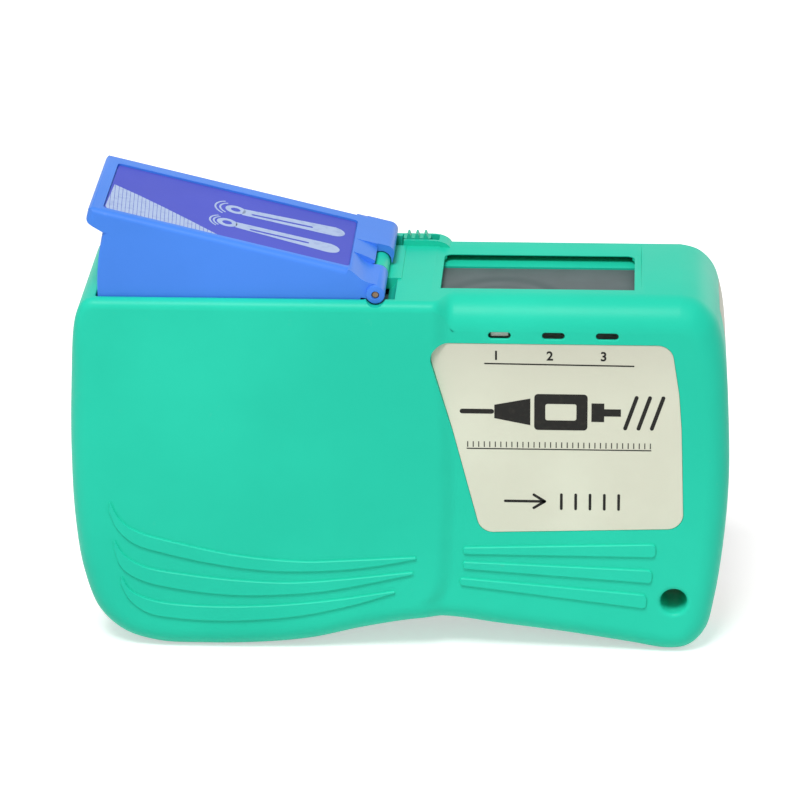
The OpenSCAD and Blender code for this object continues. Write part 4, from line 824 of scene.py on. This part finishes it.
lever = drawn([(-50.5, skirt_low), (-49, skirt_low), (-6, -3.5), (-5, 0), (-1.3, plate_low), (-1.3, lever_top),
               (-50.5, lever_top)], "y", lever_y0, lever_y1)
lever = carve(lever, "INTERSECT", [drawn(circle(0, 0, lever_r, 360), "y", -20, 20), lever_plan(-lever_r, 1.1)])
lip = drawn(rounded([(-48, -0.8), (-50, -0.8), (lip_end, 0.3), (lip_end, lever_top - hair), (-48, lever_top - hair)],
                    0.9), "y", lever_y0 + hair, lever_y1 - hair)
lever = carve(lever, "UNION", [carve(lip, "INTERSECT", [lever_plan(lip_end, 1.6)])])
step_y = lever_y1 - 0.7
section = ([(lever_y0, -18)] + arc(lever_y0 + top_r, lever_top - top_r, top_r, 180, 90)
           + arc(lever_y1 - top_r, lever_top - top_r, top_r, 90, 0)
           + [(lever_y1, -3.5), (step_y, -4.2), (step_y, -18)])
lever = carve(lever, "INTERSECT", [drawn(section, "x", -54, 0.5)])
lever = carve(lever, "DIFFERENCE", [
    block(-48.5, 0.5, lever_y0 + lever_wall, lever_y1 - lever_wall, -4.2, plate_low),
    block(-48.5, 0.5 + hair, lever_y0 + lever_wall, step_y - lever_wall, -14.5, 0),
    block(-5.3, 0.5, -14.8, 2, -1.7, 3.7), block(-5.3, 0.5 + 2 * hair, -14.8, knuckle_y2, -3.2, plate_low)])
slope = [(-5.9, 3.2), (-5.3, 3.16), (-4.6, 2.86), (-3.9, 2.42), (-3.1, 2), (-2.2, 1.73), (-1.2, 1.68), (0, 1.69)]
front_knuckle = stacked([lay(circle(0, 0, r), "y", y) for r, y in (
    (1.45, knuckle_y0), (1.62, knuckle_y0 + 0.07), (knuckle_r, knuckle_y0 + 0.25), (knuckle_r, knuckle_y1))])
hood = carve(drawn([(-4, lever_top)] + arc(0.5, lever_top - 1.6, 1.6, 90, 0) + [(hood_s, 0.2), (-1.8, 0.2), (-4, 1.5)],
                   "y", hood_y0, lever_y1 - 0.1), "DIFFERENCE", [rod(0, 0, hood_y0 - 1, knuckle_y2, knuckle_r + 0.25)])
lever = carve(lever, "UNION", [
    drawn([(-5.9, -1.8)] + slope + [(0, -1.2)], "y", lever_y0 + hair, knuckle_y1 - hair), front_knuckle,
    drawn([(-5.8, 3.2), (-5.3, 3.2), (-4.2, 3.08), (-3, 2.9), (-1.9, 2.66), (-1.2, 2.42), (-1.2, 1.95), (-2.4, 1.4),
           (-5.8, 1.4)], "y", -4.8, 2.3),
    hood, drawn([(-6, 3.1), (0, 3.1), (0, -2.2), (-6, -3.5)], "y", knuckle_y2, lever_y1 - 0.1 - hair),
    drawn([(-13, -1), (-2.4, -1), (-2.4, pawl_n + 4), (eye_r, pawl_n), (-eye_r, pawl_n - 0.5), (-7.5, pawl_n + 7)], "y",
          lever_y0 + 2 * hair, lever_y0 + lever_wall),
    rod(0, pawl_n, lever_y0 + 3 * hair, lever_y0 + lever_wall + hair, eye_r),
    drawn([(leg_s - 10.14, -5), (leg_s - 2.14, -5), (leg_s + 1.36, leg_n + 1.99), (leg_s - 7.64, leg_n + 0.59)], "y",
          lever_y0 + 4 * hair, lever_y0 + lever_wall + 2 * hair),
    block(-18.1, -17.7, -8.4, 12.2, 0.4, 1.9)])
lever = carve(lever, "DIFFERENCE", [
    rod(0, 0, -16, lever_y1 + 0.5, pin_r + pin_room), rod(0, pawl_n, -15, -12.6, pawl_bore_r),
    drawn(rectangle(*pocket, 0.8), "z", pocket_floor, lever_top + 0.5)])
lever_plastic = moulded("lever_plastic", srgb(70, 134, 234), 0.38, 0.2, 0.2)
settle(raised(lever), "lever_moulding", lever_plastic, "lever_arm", "lever")


# Lever label. A violet-blue film lies in the pocket of the lever's plate. It is printed in pale blue with a
# striped corner and with two signs that show how a plug's tip is drawn along the tape.
film_n, film_in = 2.9, 0.2
ring_r, ring_hole, wave_half, slit_w = 1.9, 0.9, 0.17, 0.75
lever_film = moulded("lever_film", srgb(74, 84, 196), 0.45, 0.12, 0.12)
pale_ink = ink_surface("pale_ink", srgb(176, 194, 226), srgb(158, 176, 216))
violet = drawn(rectangle(*(pocket + film_in * np.array((1, -1, 1, -1))), 0.7), "z", pocket_floor, film_n)
settle(raised(violet), "lever_film", lever_film, "lever_arm", "lever_label")


def inked(flat):
    return drawn(flat, "z", film_n, film_n + ink_t)


def through_ink(flat):
    return drawn(flat, "z", film_n - 1, film_n + 1)


def tip_sign(ring_s, ring_y, waves, top, bottom, line):
    """A ring with arcs to its left and a long bar with a round end and a slit to its right."""
    signs = [carve(inked(circle(ring_s, ring_y, ring_r)), "DIFFERENCE", [
        through_ink(circle(ring_s, ring_y, ring_hole))])]
    signs += [inked(arc(ring_s, ring_y, r + wave_half, 125, 235) + arc(ring_s, ring_y, r - wave_half, 235, 125))
              for r in waves]
    (s0, y0), (s1, y1) = top
    (s2, y2), (s3, y3) = bottom
    middle = ((s1 + s3) / 2, (y1 + y3) / 2)
    radius = math.hypot(s1 - s3, y1 - y3) / 2
    start = math.degrees(math.atan2(y1 - y3, s1 - s3))
    bar = inked([(s0, y0)] + arc(*middle, radius, start, start - 180, 14) + [(s2, y2)])
    return signs + [carve(bar, "DIFFERENCE", [through_ink(stroke(*line, slit_w))])]


stripe = through_ink([(-50.9, 1.3), (-49.8, -12), (-49.72, -12), (-50.82, 1.3)])
stripes = grown("corner_stripes", {"Count": 28, "Pitch": 0.72, "Solid": stripe}, row_of, pale_ink)
bpy.data.objects.remove(stripe)
corner = inked([(-50.3, 0.9), (-50.6, -10.6), (-50.3, -11.5), (-49.5, -11.8), (-29.8, -11.8), (-35.2, -8.1),
                (-40.8, -4.5), (-45.6, -1.6)])
lever_prints = [carve(corner, "DIFFERENCE", [stripes])]
lever_prints += tip_sign(-27.9, 2.7, (2.9, 3.8), ((-26.4, 4.0), (-9.4, 5.8)), ((-26.6, 0.9), (-10.1, 1.4)),
                         (-24.5, 2.2, -13.8, 3.1))
lever_prints += tip_sign(-28.8, -4.6, (2.5, 3.2), ((-27.2, -3.4), (-9.8, -3.0)), ((-27.2, -6.0), (-10.4, -7.35)),
                         (-24.2, -5.4, -13.9, -5.1))
settle(raised(joined(lever_prints)), "lever_print", pale_ink, "lever_arm")


# Hinge pin, screws and small pins. They are turned from steel. The hinge pin is pressed through the lever's
# knuckles, two screws hold the crank and the stop pawl, and the tape rollers turn on headed pins.
def turned_steel(name, colour, roughness):
    """Bare metal with fine turning marks across its length and a dull bloom."""
    material, place = textured(name)
    marks = noise(place.node("ShaderNodeMapping", {}, {"Vector": place, "Scale": (300, 9000, 300)}), 1.0, 3)
    bloom = noise(place, 420, 4)
    tint = bloom.step(0.35, 0.7).mix(colour, tone(colour, 0.62))
    covered(place, tint, roughness + bloom * 0.15, 0.5, (marks, 0.2, 0.00003), 1.0)
    return material


def finished(node, edge, material, body):
    """A copy of a CAD piece, merged, with its edges rounded off."""
    thing = placed(node + "_piece", nodes[node].data.copy())
    shape = bmesh.new()
    shape.from_mesh(thing.data)
    bmesh.ops.remove_doubles(shape, verts=shape.verts, dist=1e-6)
    bmesh.ops.dissolve_limit(shape, angle_limit=math.radians(1), verts=shape.verts, edges=shape.edges)
    shape.to_mesh(thing.data)
    shape.free()
    change = thing.modifiers.new("edge", "BEVEL")
    change.width, change.segments = edge * mm, 2
    change.limit_method, change.angle_limit = "ANGLE", math.radians(38)
    thing.data = plain(thing)
    thing.data.transform(Matrix.Scale(1 / mm, 4))
    return settle(thing, node + "_piece", material, body, node, 35)


steel = turned_steel("steel", srgb(190, 186, 180), 0.28)
pin_steel = turned_steel("pin_steel", srgb(146, 122, 100), 0.38)
hinge_pin = stacked([lay(circle(hinge_x, hinge_z, r), "y", y) for r, y in (
    (0.35, -15.1), (0.55, -15.02), (pin_r, -14.85), (pin_r, 14.85), (0.55, 15.02), (0.35, 15.1))])
settle(hinge_pin, "hinge_pin_piece", pin_steel, "case", "hinge_pin")
for node, edge, body in (("pivot_screws", 0.12, "case"), ("roller_pins", 0.1, "case"), ("pawl_pin", 0.1, "lever_arm")):
    finished(node, edge, steel, body)


# Return spring. One coil of round spring wire stands on a shelf of the front moulding under the lever's plate
# and lifts the lever again. Its wire follows a helix.
spring_x, spring_y, spring_z, spring_h, spring_r, wire_r = -19.0, 10.4, 63.5, 11.3, 2.2, 0.3


def helix(flow, given):
    line = flow.node("GeometryNodeCurveSpiral", {}, {
        "Resolution": 28, "Rotations": given["Turns"], "Start Radius": given["Coil radius"],
        "End Radius": given["Coil radius"], "Height": given["Height"]})
    wire = flow.node("GeometryNodeCurvePrimitiveCircle", {}, {"Resolution": 10, "Radius": given["Wire radius"]})
    return flow.node("GeometryNodeCurveToMesh", {}, {"Curve": line, "Profile Curve": wire, "Fill Caps": True})


spring_steel = turned_steel("spring_steel", srgb(150, 152, 156), 0.3)
spring = grown("lever_coil", {"Turns": 5.0, "Coil radius": spring_r, "Height": spring_h - 2 * wire_r,
                              "Wire radius": wire_r}, helix, spring_steel)
spring.data.transform(Matrix.Translation((spring_x, spring_y, spring_z + wire_r)))
settle(spring, "lever_coil", spring_steel, "case", "lever_spring", 60)
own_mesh(spring)


# Shutter. A grey plastic plate slides under the window and bares the tape when the lever is pressed. Its face
# is darker along two faint curved arcs, one inside the other.
def distance(x, y):
    square = x * x + y * y
    return square.math("SQRT", square)


def shutter_surface():
    """Matt grey plastic, darker along two faint round arcs, one inside the other."""
    material, place = textured("shutter_plastic")
    grain, patchy = noise(place, 2400, 3), noise(place, 160, 4)
    arcs_x, arcs_y, stretch = 0.0185, -0.0105, 0.9
    far = distance(place.part("X") - arcs_x, (place.part("Y") - arcs_y) * stretch)
    outer, inner_ring = (far.step(a, b) - far.step(c, d) for a, b, c, d in (
        (0.0092, 0.0108, 0.0112, 0.0132), (0.0068, 0.0075, 0.0078, 0.0086)))
    # The face is darker along two faint curved arcs, one inside the other.
    dark_arcs = outer + inner_ring * 0.6
    face = patchy.step(0.35, 0.7).mix(srgb(82, 94, 95), srgb(90, 103, 104))
    tint = (dark_arcs * (0.25 + patchy * 0.7)).mix(face, srgb(58, 76, 76))
    covered(place, tint, 0.45 + patchy * 0.15, 0.3, (grain, 0.2, 0.00005))
    return material


finished("shutter", 0.12, shutter_surface(), "shutter_plate")


# Mechanism. The crank turns the lever's push into the shutter's slide. The drive pawl turns the ratchet wheel
# one step for each press and the stop pawl holds it. All are dark, waxy moulded acetal.
dark_acetal = moulded("dark_acetal", srgb(46, 47, 51), 0.38, 0.15, 0.4)
for node, body in (("shutter_crank", "crank"), ("drive_pawl", "pawl"), ("stop_pawl", "stop"),
                   ("takeup_spindle", "takeup"), ("ratchet_wheel", "takeup")):
    finished(node, 0.12, dark_acetal, body)


# Cartridge. A white plate carries two reels, two rollers, a foam pad and a guide plate with two openings.
# It clips on the posts of the front moulding and is swapped as one when its tape is used up.
white_acetal = moulded("white_acetal", srgb(222, 221, 214), 0.4, 0.15, 0.35)
reel_plastic = moulded("reel_plastic", srgb(196, 200, 204), 0.34, 0.12, 0.4)
for node, body in (("cartridge_frame", "case"), ("guide_plate", "case"), ("roller_left", "left_roller"),
                   ("roller_right", "right_roller")):
    finished(node, 0.15, white_acetal, body)
for side_name in ("supply", "takeup"):
    finished(side_name + "_reel", 0.25, reel_plastic, side_name)


def foam_surface():
    """Dark foam with open cells."""
    material, place = textured("pad_foam")
    cells = place.node("ShaderNodeTexVoronoi", {}, {"Vector": place, "Scale": 1800})
    covered(place, cells.step(0.1, 0.6).mix(srgb(28, 29, 31), srgb(84, 86, 90)), 0.95, 0.5, (cells, 0.8, 0.0003))
    return material


def tape_surface(name, centre, colour, soiled):
    """Woven microfibre tape. Its weave shows on the face, and on a roll's end its windings show as rings."""
    material, place = textured(name)
    x, y, z = (place.part(way) for way in "XYZ")
    threads, windings = 16000, 18000
    warp, weft, rings = (place.math("SINE", run) for run in (
        x * threads, y * threads, distance(x - centre[0], z - centre[1]) * windings))
    height = warp * weft * 0.3 + rings * 0.3 + 0.5
    weave = height.step(0.1, 0.9).mix(tone(colour, 0.82), colour)
    covered(place, noise(place, 210, 5).step(0.5, 0.8).mix(weave, soiled), 0.85, 0.2, (height, 0.5, 0.00012))
    return material


supply_at, takeup_at = (-0.030, 0.027), (0.024, 0.030)
finished("cleaning_pad", 0.2, foam_surface(), "case")
clean = srgb(226, 230, 232)
for node, body, centre, soiled in (("cleaning_tape", "case", supply_at, srgb(214, 219, 222)),
                                   ("supply_roll", "supply", supply_at, srgb(216, 221, 224)),
                                   ("takeup_roll", "takeup", takeup_at, srgb(168, 172, 174))):
    finished(node, 0.04, tape_surface(node + "_cloth", centre, clean, soiled), body)
